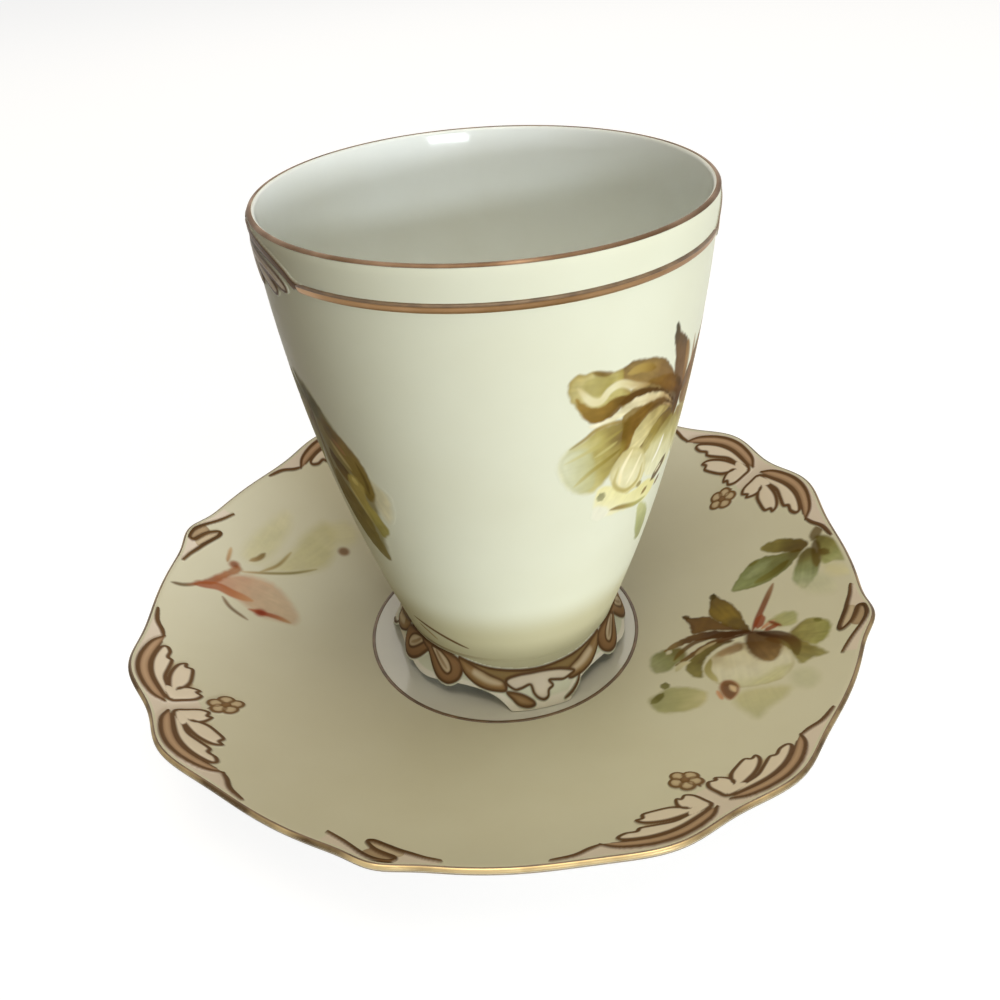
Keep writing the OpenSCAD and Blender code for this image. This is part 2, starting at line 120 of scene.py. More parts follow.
def bell_r(h):
    t = np.clip((h - foot_h) / (cup_h - foot_h), 0, 1)
    return neck_r + (lip_r - neck_r) * (bell_round * (1 - (1 - t) ** bell_power) + bell_straight * t)


def flare_r(h):
    return neck_r + (tongue_r - neck_r) * np.clip(1 - h / foot_h, 0, 1) ** flare_power


def cup_to_saucer(x, y, h):
    c, s = math.cos(math.radians(cup_turn)), math.sin(math.radians(cup_turn))
    return np.stack([cup_shift + c * x - s * y, s * x + c * y, well_floor_z + h], axis=-1)


print("saucer", round(2 * float(edge_r(np.arange(0, 360, 0.5)).max()), 1), "mm across, cup", cup_h,
      "mm tall")

# %% [markdown]
# ## Surfaces to draw on
# Relief and paint are drawn flat and then laid on the ware. Each surface below takes a flat drawing point
# and a height above the glaze and returns the place in space. The height is measured square to the glaze,
# as a modeller would build it up with a spatula.

# %% Drawing surfaces
def slope_of(curve, at, step=0.05):
    """Steepness of a curve, from two of its points a tenth of a millimetre apart."""
    return (curve(at + step) - curve(at - step)) / (2 * step)


def dish_point(r, angle, lift):
    slope = slope_of(dish_z, r)
    norm = np.sqrt(1 + slope ** 2)
    out = r - lift * slope / norm
    a = np.radians(angle)
    return np.stack([out * np.cos(a), out * np.sin(a), dish_z(r) + lift / norm], axis=-1)


def wall_point(radius_at, angle, h, lift):
    slope = slope_of(radius_at, h)
    norm = np.sqrt(1 + slope ** 2)
    out = radius_at(h) + lift / norm
    a = np.radians(angle)
    return cup_to_saucer(out * np.cos(a), out * np.sin(a), h - lift * slope / norm)


def along_edge(mid):
    """u runs along the saucer's edge from the direction mid, v runs inwards from the edge."""
    def place(u, v, lift):
        angle = mid + np.degrees(u / edge_plain_r)
        return dish_point(edge_r(angle) - v, angle, lift)
    return place


def across_dish(u, v, lift):
    """u and v are the saucer's own X and Y."""
    return dish_point(np.hypot(u, v), np.degrees(np.arctan2(v, u)), lift)


def round_wall(radius_at, mid):
    """u runs round the cup from the direction mid, v is the height above the foot's lowest edge."""
    return lambda u, v, lift: wall_point(radius_at, mid + np.degrees(u / radius_at(v)), v, lift)


print("surfaces: saucer edge, dish, cup wall, cup foot")

# %% [markdown]
# ## Colours and nodes
# Colours are written as sRGB hex values, the way a picker shows them, and one function turns them into the
# linear values that the renderer works with. Another small function adds a shader node, sets its options
# and fills or links its inputs, so that a material reads as a short list. The cup's cream was sprayed on,
# and towards the foot it is painted darker and browner: painted shade, where the bell turns under towards
# the saucer, so its colour depends on the height.

# %% Colour and node helpers
def linear(hex_text):
    s = np.array([int(hex_text[i:i + 2], 16) for i in (1, 3, 5)]) / 255
    return np.where(s <= 0.04045, s / 12.92, ((s + 0.055) / 1.055) ** 2.4)


def fill_inputs(tree, node, inputs):
    """Links each input to a socket or to a node's first output, or sets it to a plain value."""
    for name, value in inputs.items():
        if isinstance(value, bpy.types.Node):
            value = value.outputs[0]
        if isinstance(value, bpy.types.NodeSocket):
            tree.links.new(value, node.inputs[name])
        else:
            node.inputs[name].default_value = value


def add_node(tree, kind, inputs=None, stops=(), **options):
    """A new node with its options, its inputs and, on a ramp, stops of a value and a linear colour."""
    made = tree.nodes.new("ShaderNode" + kind)
    for name, value in options.items():
        setattr(made, name, value)
    for k, (value, colour) in enumerate(stops):
        made.color_ramp.elements[k].position = value
        made.color_ramp.elements[k].color = (*colour, 1)
    fill_inputs(tree, made, inputs or {})
    return made


def start_material(name):
    """A new material, its node tree, its shader and the place of a point on the piece."""
    material = bpy.data.materials.new(name)
    material.use_nodes = True
    tree = material.node_tree
    print("material", name)
    return material, tree, tree.nodes["Principled BSDF"], add_node(tree, "TexCoord").outputs["Object"]


def per_mm(size):
    """Noise scale, in blotches per metre, for blotches of this size in millimetres."""
    return 1 / (size * MM)


# The saucer's cream is the cup's cream glaze painted darker: painted shade for the dish, which lies in half
# shade.
cup_cream, saucer_cream_shaded = linear("#E0E2CD"), linear("#D5D2BD")
# The well's white is the clear white glaze painted darker: painted shade from the cup standing over it.
white_glaze, well_white_shaded, bisque = linear("#F7FCFA"), linear("#D8D8D0"), linear("#D8D2C2")
# Painted shade on the cup's cream towards the foot: it starts 23.5 mm up the cup and is full 8.5 mm lower,
# taking most from blue, so the shade looks brown.
shade_below, shade_over, shade_by = 23.5, 8.5, (0.28, 0.33, 0.46)


def cup_ground_shaded(h):
    """Colour of the cup's sprayed ground at a height in millimetres, with painted shade towards the foot."""
    shade_share = ease(shade_below - np.asarray(h, float), 0, shade_over)[..., None]
    return cup_cream * (1 - shade_share * shade_by)


print("cup ground", cup_cream.round(3), "saucer ground", saucer_cream_shaded.round(3))

# %% [markdown]
# ## Glazed porcelain
# Porcelain is white clay fired until it is glass-like, under a glaze that melts to a smooth film of glass
# (IOR about 1.5). Three glazes are on this set: a sprayed satin cream, a clear shining one over the white
# parts, and the low-fired enamel of the flowers, the dullest. They differ in roughness and in how strongly
# they mirror. The colour of each point comes from a colour attribute, because one film holds many tones:
# the ground and its relief, or all the colours of a flower. Noise adds the cloudiness of the spray (20 mm),
# the orange peel of the melted film (4 mm) and small specks of uneven gloss (1.2 mm).

# %% Material: glazed porcelain
cloud_mm, peel_mm, peel_deep_mm, speck_mm = 20, 4, 0.1, 1.2
thick_spray, thin_spray = (0.955, 0.945, 0.92), (1, 1, 1)
noise_low, noise_high = 0.3, 0.7


def porcelain(name, rough_low, rough_high, mirror):
    """mirror is the strength of the reflection: 0.5 is bare glass, less is a satin film."""
    material, tree, shader, spot = start_material(name)
    paint = add_node(tree, "VertexColor", layer_name="glaze")
    clouds = add_node(tree, "TexNoise", {"Vector": spot, "Scale": per_mm(cloud_mm), "Detail": 3})
    tint = add_node(tree, "ValToRGB", {"Fac": clouds},
                    stops=[(noise_low, thick_spray), (noise_high, thin_spray)])
    ground = add_node(tree, "MixRGB", {"Fac": 1, "Color1": paint, "Color2": tint}, blend_type="MULTIPLY")
    specks = add_node(tree, "TexNoise", {"Vector": spot, "Scale": per_mm(speck_mm), "Detail": 2})
    gloss = add_node(tree, "MapRange", {"Value": specks, "From Min": noise_low, "From Max": noise_high,
                                        "To Min": rough_low, "To Max": rough_high})
    peel = add_node(tree, "TexNoise", {"Vector": spot, "Scale": per_mm(peel_mm), "Detail": 1})
    film = add_node(tree, "Bump", {"Height": peel, "Strength": 0.06, "Distance": peel_deep_mm * MM})
    fill_inputs(tree, shader, {"Base Color": ground, "Roughness": gloss, "Normal": film, "IOR": 1.5,
                               "Specular IOR Level": mirror})
    return material


# A satin film: wide, weak highlights, so that the cream looks soft and powdery.
satin_cream = porcelain("satin_glaze_sprayed_cream", rough_low=0.3, rough_high=0.4, mirror=0.045)
# Enamel that barely melted: almost no shine, so that the flowers look painted on top.
overglaze = porcelain("overglaze_enamel_low_fired", rough_low=0.4, rough_high=0.5, mirror=0.02)
# Clear glass over white: a sharp glint of the window and a cool, clean inside.
clear_glaze = porcelain("clear_glaze_over_white_porcelain", rough_low=0.08, rough_high=0.14, mirror=0.5)

# %% [markdown]
# ## Fired gold and brown enamel
# The edges were brushed with liquid gold, which fires to a thin metal film. Use wears it to a brown, matt
# line that still flashes where it is thick. A metal keeps the default IOR; its colour is the reflection.
# Patches of 6 to 9 mm mix bright gold with worn brown and change the roughness with it. Noise of 0.8 mm
# raises the marks of the brush, coarser than its hairs so that they show. The darkest lines are brown
# enamel, a coloured glass, so that material isn't a metal.

# %% Materials: gold, copper gold and enamel
brush_mm, brush_deep_mm, pool_mm = 0.8, 0.05, 2.5
worn_below, bright_above, dull_below, shiny_above = 0.4, 0.75, 0.3, 0.8
# Painted sheen on the edge gold: from 57.5 mm to 62 mm in front of the saucer's middle it is painted
# brighter, where its reflection faces the viewer.
sheen_from_mm, sheen_full_mm = -57.5, -62


def fired_gold(name, bright, worn, rough_low, rough_high, wear_mm, front_sheen=0.0):
    """The last argument paints the gold brighter on the saucer's front, which faces the viewer: a painted
    sheen, for the reflection seen there.
    """
    material, tree, shader, spot = start_material(name)
    wear_and_sheen = add_node(tree, "TexNoise", {"Vector": spot, "Scale": per_mm(wear_mm), "Detail": 4})
    if front_sheen:
        place = add_node(tree, "SeparateXYZ", {"Vector": spot})
        more = add_node(tree, "MapRange", {"Value": place.outputs["Y"], "From Min": sheen_from_mm * MM,
                                           "From Max": sheen_full_mm * MM, "To Min": 0.0, "To Max": front_sheen})
        wear_and_sheen = add_node(tree, "Math", {0: wear_and_sheen, 1: more}, operation="ADD")
    film = add_node(tree, "ValToRGB", {"Fac": wear_and_sheen},
                    stops=[(worn_below, linear(worn)), (bright_above, linear(bright))])
    rough = add_node(tree, "MapRange", {"Value": wear_and_sheen, "From Min": dull_below, "From Max": shiny_above,
                                        "To Min": rough_high, "To Max": rough_low})
    brush = add_node(tree, "TexNoise", {"Vector": spot, "Scale": per_mm(brush_mm), "Detail": 2})
    marks = add_node(tree, "Bump", {"Height": brush, "Strength": 0.25, "Distance": brush_deep_mm * MM})
    fill_inputs(tree, shader, {"Base Color": film, "Roughness": rough, "Normal": marks, "Metallic": 1})
    return material


# Brown for most of the way round, with a painted sheen of pale gold along the front of the saucer.
edge_gold = fired_gold("fired_gold_worn_edge_front_sheen", bright="#C8B080", worn="#584630", rough_low=0.35,
                       rough_high=0.6, wear_mm=9, front_sheen=0.24)
# A matt brown line with a faint sheen, as gold looks on a lip that was drunk from.
lip_gold = fired_gold("fired_gold_matt_lip", bright="#8C735C", worn="#6A533E", rough_low=0.45,
                      rough_high=0.6, wear_mm=6)
# A warm copper band, the evenest of the three.
band_gold = fired_gold("fired_copper_gold_band", bright="#B4906A", worn="#9C7A54", rough_low=0.35,
                       rough_high=0.5, wear_mm=7)

# A dark line with paler places, where the enamel ran thin, and a soft gloss.
brown_enamel, tree, shader, spot = start_material("fired_brown_enamel")
pools = add_node(tree, "TexNoise", {"Vector": spot, "Scale": per_mm(pool_mm), "Detail": 3})
pooled = add_node(tree, "ValToRGB", {"Fac": pools},
                  stops=[(0.35, linear("#5A4530")), (0.65, linear("#7B6246"))])
fill_inputs(tree, shader, {"Base Color": pooled, "Roughness": 0.35})

# %% [markdown]
# ## From points to pieces
# A turned or swept piece is a row of rings joined by quads: this is what Blender's Spin or Screw tools do,
# but rings made in code can also follow the lobed edge. A ring that shrinks to a point becomes a pole of
# triangles. Every piece gets its colours, its material, the body that it moves with and the solids that
# it stands for.

# %% Mesh helpers
crease = math.radians(42)


def add_piece(name, points, faces, materials, body, nodes=(), colours=None, pick=None):
    mesh = bpy.data.meshes.new(name)
    mesh.from_pydata((np.asarray(points) * MM).tolist(), [], faces)
    if colours is not None:
        layer = mesh.color_attributes.new("glaze", "FLOAT_COLOR", "POINT")
        layer.data.foreach_set("color", np.column_stack([colours, np.ones(len(points))]).ravel())
    for material in materials:
        mesh.materials.append(material)
    if pick is not None:
        mesh.polygons.foreach_set("material_index", np.asarray(pick, np.int32))
    shell = bmesh.new()
    shell.from_mesh(mesh)
    bmesh.ops.recalc_face_normals(shell, faces=shell.faces)
    open_edges = sum(not edge.is_manifold for edge in shell.edges)
    shell.to_mesh(mesh)
    shell.free()
    mesh.polygons.foreach_set("use_smooth", np.ones(len(mesh.polygons), bool))
    mesh.set_sharp_from_angle(angle=crease)
    piece = bpy.data.objects.new(name, mesh)
    bpy.context.collection.objects.link(piece)
    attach(piece, body)
    if nodes:
        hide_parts(*nodes)
    print(name, len(mesh.vertices), "points", len(mesh.polygons), "faces", open_edges, "open edges")


def join_rings(rings, loop=False, poles=()):
    """Points and faces of a skin over rings (rows, around, 3). loop joins the last ring to the first; two
    poles close the ends by triangles; otherwise one face closes each end."""
    rows, around = rings.shape[:2]
    index = np.arange(rows * around).reshape(rows, around)
    after = np.roll(index, -1, axis=1)
    faces = []
    for i in range(rows if loop else rows - 1):
        j = (i + 1) % rows
        faces += np.stack([index[i], after[i], after[j], index[j]], axis=1).tolist()
    points = rings.reshape(-1, 3)
    if len(poles):
        points = np.vstack([points, poles])
        faces += [(rows * around, int(q), int(p)) for p, q in zip(index[0], after[0])]
        faces += [(rows * around + 1, int(p), int(q)) for p, q in zip(index[-1], after[-1])]
    elif not loop:
        faces += [index[0][::-1].tolist(), index[-1].tolist()]
    return points, faces


def add_turned(name, rings, poles, tones, pole_tones, body, node):
    """A closed turned piece with one tone to each ring: rings of white get clear glaze, others the satin."""
    around = rings[0].shape[0]
    points, faces = join_rings(np.array(rings), poles=poles)
    white = [tone is white_glaze or tone is well_white_shaded for tone in tones]
    spans = [a and b for a, b in zip(white, white[1:])]
    pick = np.repeat(spans + [white[0], white[-1]], around).astype(int)
    colours = np.vstack([np.repeat(tones, around, axis=0), pole_tones])
    add_piece(name, points, faces, [satin_cream, clear_glaze], body, [node], colours, pick)


print("mesh helpers ready")

# %% [markdown]
# ## Saucer
# The real saucer was jiggered: a template pressed the clay on a turning mould, and the lobed edge came from
# the mould itself. So the mesh is a set of rings that are round at the well and take the lobes towards
# the edge. The profile runs from the middle of the well out to the rounded lip, back underneath and over
# the foot ring. The dish is satin cream, painted darker than the cup's cream as shade for the dish. The well
# and the underside are white under clear glaze, the well's white painted darker as the cup's shade on it, and
# the foot ring shows bare clay where it stood in the kiln.

# %% Saucer body
turn = np.arange(0, 360, 0.75)
lobe = edge_r(turn) - edge_plain_r
lobes_from_r, lobes_full_r = 34, edge_plain_r - 1
edge_round, bare_below_z, under_z = 0.6, 0.2, 3
wall_mid, wall_edge, wall_growth = 3, 1.2, 0.08
under_from_r, under_to_r = edge_plain_r - 2.5, 30
well_rs = [2, 6, 12, 18, 22, 23.9, well_line_r]
foot_profile = [(28.6, 3.9), (28.1, 3.2), (28, 2.4), (28, 0.5), (27.6, 0.1), (27.2, 0), (26, 0),
                (25.5, 0.1), (25.2, 0.5), (24.6, 2.2), (24, 2.9), (23.2, under_z), (16, under_z),
                (8, under_z), (3, under_z)]


def saucer_ring(r, z, share):
    """Ring at a radius and a height, with a share of the edge's lobes."""
    radius = r + lobe * share
    return np.stack([radius * np.cos(np.radians(turn)), radius * np.sin(np.radians(turn)), z + 0 * turn],
                    axis=1)


def lobe_share(r):
    return ease(r, lobes_from_r, lobes_full_r)


rings, tones = [], []
# The dish's cream and the well's white both carry painted shade.
for r in np.concatenate([well_rs, np.linspace(well_r, edge_plain_r - edge_round, 46)]):
    share = lobe_share(r)
    rings.append(saucer_ring(r, dish_z(r + lobe * share), share))
    tones.append(well_white_shaded if r <= well_line_r else saucer_cream_shaded)
lip_mid_z = dish_z(edge_plain_r - edge_round + lobe) - edge_round
# Over the lip, in degrees above and below its outermost point.
for swing in np.linspace(70, -90, 9):
    r = edge_plain_r - edge_round + edge_round * math.cos(math.radians(swing))
    rings.append(saucer_ring(r, lip_mid_z + edge_round * math.sin(math.radians(swing)), 1))
    tones.append(saucer_cream_shaded)
for r in np.linspace(under_from_r, under_to_r, 26):
    share = lobe_share(r)
    wall = min(wall_mid - r / edge_plain_r, wall_edge + wall_growth * (edge_plain_r - r))
    rings.append(saucer_ring(r, dish_z(r + lobe * share) - wall, share))
    tones.append(white_glaze)
for r, z in foot_profile:
    rings.append(saucer_ring(r, z, 0))
    tones.append(bisque if z < bare_below_z else white_glaze)
add_turned("saucer", rings, [(0, 0, well_floor_z), (0, 0, under_z)], tones, [well_white_shaded, white_glaze],
           "saucer", "saucer_body")

# %% [markdown]
# ## Cup body
# The cup was cast in a plaster mould: slip drains out and leaves an even wall, thinner at the lip. Outside it
# is sprayed cream, inside it is white under clear glaze. Spinning one line and giving it a thickness with
# Solidify would make an even wall. One profile that runs up the outside and down the inside lets the wall
# thin towards the lip, and the colour change there.

# %% Cup body
round_cup = np.arange(0, 360, 1.0)
lip_base, lip_half, lip_top = cup_h - 0.6, 0.55, 0.5
wall_low, wall_high, thin_from, thin_over = 3.2, 1.8, 0.88, 0.12
bowl_floor, bowl_power, bowl_round, least_ring = foot_h + 3.2, 1.6, 0.16, 1


def cup_ring(r, h, around):
    a = np.radians(around)
    return cup_to_saucer(r * np.cos(a), r * np.sin(a), h + 0 * a)


profile = [(4, foot_h), (12, foot_h)] + [(float(bell_r(h)), h) for h in np.linspace(foot_h, lip_base, 64)]
# Three of the lip's five rings are still cream.
cream_count = len(profile) + 3
lip_mid = float(bell_r(lip_base)) - lip_half
for a in np.radians([30, 60, 90, 120, 150]):
    profile.append((lip_mid + lip_half * math.cos(a), lip_base + lip_top * math.sin(a)))
for step in np.linspace(1, 0, 44):
    s = step ** bowl_power
    h = bowl_floor + (lip_base - bowl_floor) * s
    wall = wall_low + (wall_high - wall_low) * min(1, 2 * s)
    wall -= (wall_high - 2 * lip_half) * max(0, (s - thin_from) / thin_over) ** 2
    close = 1 if s >= bowl_round else math.sqrt(max(0, 1 - (1 - s / bowl_round) ** 2))
    r = (float(bell_r(h)) - wall) * close
    if r > least_ring:
        profile.append((r, h))
rings = [cup_ring(r, h, round_cup) for r, h in profile]
# Outside, each ring takes the cup's cream with its painted shade towards the foot.
tones = [cup_ground_shaded(h) if i < cream_count else white_glaze for i, (_, h) in enumerate(profile)]
add_turned("cup", rings, [cup_to_saucer(0, 0, foot_h), cup_to_saucer(0, 0, bowl_floor)], tones,
           [cup_cream, white_glaze], "cup", "cup_body")

# %% [markdown]
# ## Cup foot
# A flared skirt with three tongues carries the cup, and squarish arches open between them, each with a small
# drop in its middle. A Boolean could cut them out, but it leaves long thin faces and a hard edge. Here the
# arch is a height that depends on the direction, and each ring of the skirt is bent to it: the lowest ring
# follows the arches and the top ring is level. The edge is paler where the glaze has run off it.

# %% Cup foot
foot_turn = np.arange(0, 360, 0.75)
arch_turn, arch_high, arch_half, arch_square = 90, 3.2, 16.6, 8
drop_high, drop_width = 1.3, 5.4
skirt_wall, seam_h, roof_h = 2.4, 4.9, 5
shaded_above, pale_below = 0.6, 0.18
pale_edge = linear("#F1EDE0")
# The top of the skirt takes the cup's shaded ground at the neck, painted darker still: painted shade where
# the foot meets the bell.
skirt_top_shaded = cup_ground_shaded(8) * 0.95


def arch_h(angle):
    """Height of the skirt's lower edge, for a direction in the cup's own frame."""
    x = tongue_r * np.sin(np.radians(wrap(angle - arch_turn, foot_step)))
    arch = arch_high * (1 - (np.abs(x) / arch_half) ** arch_square) - drop_high * bump(x, drop_width)
    return np.where(np.abs(x) < arch_half, np.clip(arch, 0, None), 0)


def skirt_ring(h, inset):
    return cup_ring(flare_r(h) - inset, h, foot_turn)


low = arch_h(foot_turn)
rings, tones = [], []
for share in np.linspace(1, 0.06, 18):
    rings.append(skirt_ring(low + (foot_h - low) * share, 0))
    tones.append(skirt_top_shaded if share > shaded_above else cup_cream if share > pale_below else pale_edge)
for inset, rise in [(0.05, 0.25), (0.3, 0.06), (0.7, 0), (1.7, 0), (2.1, 0.06), (2.35, 0.25)]:
    rings.append(skirt_ring(low + rise, inset))
    tones.append(pale_edge)
for share in np.linspace(0.15, 1, 6):
    rings.append(skirt_ring(low + (seam_h - low) * share, skirt_wall))
    tones.append(white_glaze)
for r in (14, 8, 3):
    rings.append(cup_ring(r, roof_h, foot_turn))
    tones.append(white_glaze)
add_turned("cup_foot_skirt", rings, [cup_to_saucer(0, 0, foot_h), cup_to_saucer(0, 0, roof_h)], tones,
           [cup_cream, white_glaze], "cup", "cup_foot")

# %% [markdown]
# ## Handle
# The handle was cast apart and stuck on with slip, which leaves a soft swelling where it meets the wall. It
# is a section swept along two bows that meet at the outermost point. A curve with a bevel would sweep it too,
# but rings of its own let the section be wider than it is deep, for the finger, and grow towards both ends.

# %% Handle
bow_mid_h, bow_out, upper_bow, lower_bow, rooted = 57.0, 6.2, 14, 30, 1.2
bow_mid = float(bell_r(bow_mid_h)) + bow_out
lower_mid = bow_mid - (lower_bow - upper_bow)
grip_wide, grip_deep, swell_by, swell_reach = 2.75, 2.3, 0.55, 2.2
bows = [(bow_mid + upper_bow * math.cos(a), bow_mid_h + upper_bow * math.sin(a))
        for a in np.radians(np.linspace(140, 0, 30))]
bows += [(lower_mid + lower_bow * math.cos(a), bow_mid_h - lower_bow * math.sin(a))
         for a in np.radians(np.linspace(3, 80, 44))]
bows = np.array(bows)
off_wall = bows[:, 0] - bell_r(bows[:, 1])
bows = bows[off_wall > -rooted]
off_wall = off_wall[off_wall > -rooted]
ahead_of = np.gradient(bows, axis=0)
ahead_of /= np.linalg.norm(ahead_of, axis=1)[:, None]
section = np.radians(np.arange(0, 360, 10))
rings = []
for (out, h), (d_out, d_h), near in zip(bows, ahead_of, off_wall):
    swell = 1 + swell_by * math.exp(-(max(near, 0) / swell_reach) ** 2)
    across, deep = grip_wide * swell * np.cos(section), grip_deep * swell * np.sin(section)
    rings.append(cup_to_saucer(across, out - deep * d_h, h + deep * d_out))
points, faces = join_rings(np.array(rings))
add_piece("handle", points, faces, [satin_cream], "cup", ["cup_handle"],
          np.repeat([cup_cream], len(points), axis=0))

# %% [markdown]
# ## Gilded edges
# A banding wheel turns the ware while the brush stands still, so every line is an even ring. The gold is a
# thin skin that wraps the edge it was painted on: over the saucer's lobed lip, where it has brown enamel
# above it and painted shade in brown below it, where the lip turns down, and over the cup's lip. A curve
# with a bevel would give a round wire; a skin made from its own profile can hug the edge.

# %% Gilded edges
def ring_skin(profile, place, around):
    """A closed ring from a closed profile; place(across, up, angle) puts a profile point in space."""
    return join_rings(np.array([place(a, b, around) for a, b in profile]), loop=True)


gold_over, gold_under, gold_inset = 0.045, 0.12, 0.05
# Brown enamel lies above the gold; the brown below it, where the lip turns down, is painted shade.
brown_and_shade_rows = (0, 1, 9, 10, 11, 12)
# The gold runs from nearly the top of the lip to a little below its outermost point, in degrees.
swings = np.radians(np.linspace(88, -34, 14))
skin = [(edge_round + gold_over, s) for s in swings] + [(edge_round - gold_under, s) for s in swings[::-1]]


def over_saucer_lip(radius, swing, around):
    r = edge_r(around) - edge_round - gold_inset + radius * math.cos(swing)
    z = dish_z(edge_r(around) - edge_round) - edge_round + radius * math.sin(swing)
    return np.stack([r * np.cos(np.radians(around)), r * np.sin(np.radians(around)), z], axis=1)


points, faces = ring_skin(skin, over_saucer_lip, turn)
pick = np.repeat([int(k in brown_and_shade_rows) for k in range(len(skin))], len(turn))
add_piece("gilded_saucer_edge", points, faces, [edge_gold, brown_enamel], "saucer", ["saucer_edge_gilding"],
          pick=pick)

lip_over, lip_crown, lip_under = 0.04, 0.57, 0.75
# On the cup it covers the outer side of the lip and its top.
swings = np.radians(np.linspace(24, 104, 12))
skin = [(1, s) for s in swings] + [(lip_under, s) for s in swings[::-1]]


def over_cup_lip(size, swing, around):
    return cup_ring(lip_mid + size * (lip_half + lip_over) * math.cos(swing),
                    lip_base + size * lip_crown * math.sin(swing), around)


points, faces = ring_skin(skin, over_cup_lip, round_cup)
add_piece("gilded_cup_lip", points, faces, [lip_gold], "cup", ["cup_lip_gilding"])

# %% [markdown]
# ## Fired lines
# Two thin lines run round the ware: brown enamel round the well, and a line round the neck that is hardly
# there. It has the ground's colour and was inked on one side only. They could be drawn in the shader, but
# thick enamel stands up and catches the light, so each one is a low bead.

# %% Fired lines
def bead(width, height, buried=0.15, count=9):
    """Closed profile of a rounded line, sunk a little into the ware."""
    arc = [(width / 2 * math.cos(a), height * math.sin(a)) for a in np.linspace(math.pi, 0, count)]
    return arc + [(width / 2, -buried), (-width / 2, -buried)]


well_bead_r, neck_bead_h = well_line_r + 0.35, foot_h + 0.45
ink_turn, ink_width, ink_share = 212, 26, 0.75


def round_well(across, up, around):
    r, a = well_bead_r + across, np.radians(around)
    return np.stack([r * np.cos(a), r * np.sin(a), well_floor_z + up + 0 * a], axis=1)


def round_neck(across, up, around):
    return wall_point(bell_r, around, neck_bead_h + across + 0 * around, up)


points, faces = ring_skin(bead(width=0.6, height=0.14), round_well, turn)
add_piece("well_line", points, faces, [brown_enamel], "saucer", ["saucer_well_line"])
points, faces = ring_skin(bead(width=0.8, height=0.03), round_neck, turn)
inked = (ink_share * bump(wrap(turn - ink_turn, 360), ink_width))[:, None]
# The neck line takes the cup's ground at the neck, with its painted shade.
neck_tones = cup_ground_shaded(foot_h) * (1 - inked) + linear("#8A7354") * inked
add_piece("neck_line", points, faces, [satin_cream], "cup", ["cup_neck_line"],
          np.tile(neck_tones, (len(points) // len(turn), 1)))

# %% [markdown]
# ## Band under the lip
# A raised band runs between the two rim ornaments, copper gold with a thin dark line along its top. It is a
# strip of the cup wall with rounded ends. The dark line is a second material on the upper faces, so the
# edge between both stays crisp.

# %% Bands
band_top, band_low, band_gap, end_round = cup_h - 4.7, cup_h - 6.0, 31.5, 1.2
band_profile = [(-0.65, -0.12), (-0.65, 0.02), (-0.5, 0.16), (-0.2, 0.27), (0.1, 0.33), (0.3, 0.36),
                (0.34, 0.4), (0.5, 0.38), (0.62, 0.22), (0.65, 0.02), (0.65, -0.12)]
dark_from = 0.3
for name, start in (("band_front", 180), ("band_back", 0)):
    around = np.linspace(start + band_gap, start + 180 - band_gap, 160)
    rows = []
    for a in around:
        end = min(a - around[0], around[-1] - a)
        taper = math.sqrt(min(1, (end + 0.05) / end_round))
        rows.append([wall_point(bell_r, a, (band_top + band_low) / 2 + v * taper,
                                up if up < 0 else up * taper)
                     for v, up in band_profile])
    points, faces = join_rings(np.array(rows))
    dark = [int(v >= dark_from) for v, _ in band_profile[:-1]] + [0]
    pick = dark * (len(around) - 1) + [0, 0]
    add_piece(name, points, faces, [band_gold, brown_enamel], "cup", ["cup_" + name], pick=pick)

# %% [markdown]
# ## Drawing on the ware
# Relief and overglaze paint have to be sharper than the turned meshes are. So each ornament is a small fine
# sheet: a grid of points 0.14 to 0.2 mm apart, drawn on flat with distances to smooth curves, then laid on
# its surface as a thin closed shell. Where nothing is drawn the sheet is left out, and its ground has the
# glaze's own colour, so its border can't be seen. Painting in the shader or on an image would be the other
# ways; points keep the relief and its colour together.

# %% Curves and distances
def xy(drawn):
    """Points of a drawing from text: x,y pairs in millimetres with spaces between them."""
    return [tuple(float(n) for n in pair.split(",")) for pair in drawn.split()]


def smooth_curve(drawn, per=8, closed=False):
    """Catmull-Rom curve through the drawn points."""
    p = np.asarray(drawn, float)
    ends = np.vstack([p[-1], p, p[:2]]) if closed else np.vstack([2 * p[0] - p[1], p, 2 * p[-1] - p[-2]])
    t = np.linspace(0, 1, per, endpoint=False)[:, None]
    runs = []
    for a, b, c, d in zip(ends, ends[1:], ends[2:], ends[3:]):
        bend, twist = 2 * a - 5 * b + 4 * c - d, 3 * b - a - 3 * c + d
        runs.append(0.5 * (2 * b + (c - a) * t + bend * t ** 2 + twist * t ** 3))
    return np.vstack(runs + ([] if closed else [p[-1:]]))


def nearest(points, path):
    """Distance to a path and the share of the way along it."""
    start, step = path[:-1], np.diff(path, axis=0)
    length = np.hypot(step[:, 0], step[:, 1]) + 1e-9
    run = np.concatenate([[0], np.cumsum(length)])
    best, share = np.full(len(points), np.inf), np.zeros(len(points))
    for a, d, size, so_far in zip(start, step, length, run):
        t = np.clip(((points - a) @ d) / size ** 2, 0, 1)
        off = points - a - t[:, None] * d
        far = np.hypot(off[:, 0], off[:, 1])
        near = far < best
        best[near] = far[near]
        share[near] = (so_far + t[near] * size) / run[-1]
    return best, share


def depth_in(points, outline):
    """Distance to a closed outline, positive inside it."""
    x, y = points.T
    within = np.zeros(len(points), bool)
    for (x1, y1), (x2, y2) in zip(outline, np.roll(outline, -1, axis=0)):
        if y1 != y2:
            within ^= ((y1 > y) != (y2 > y)) & (x < (x2 - x1) * (y - y1) / (y2 - y1) + x1)
    far = nearest(points, np.vstack([outline, outline[:1]]))[0]
    return np.where(within, far, -far)


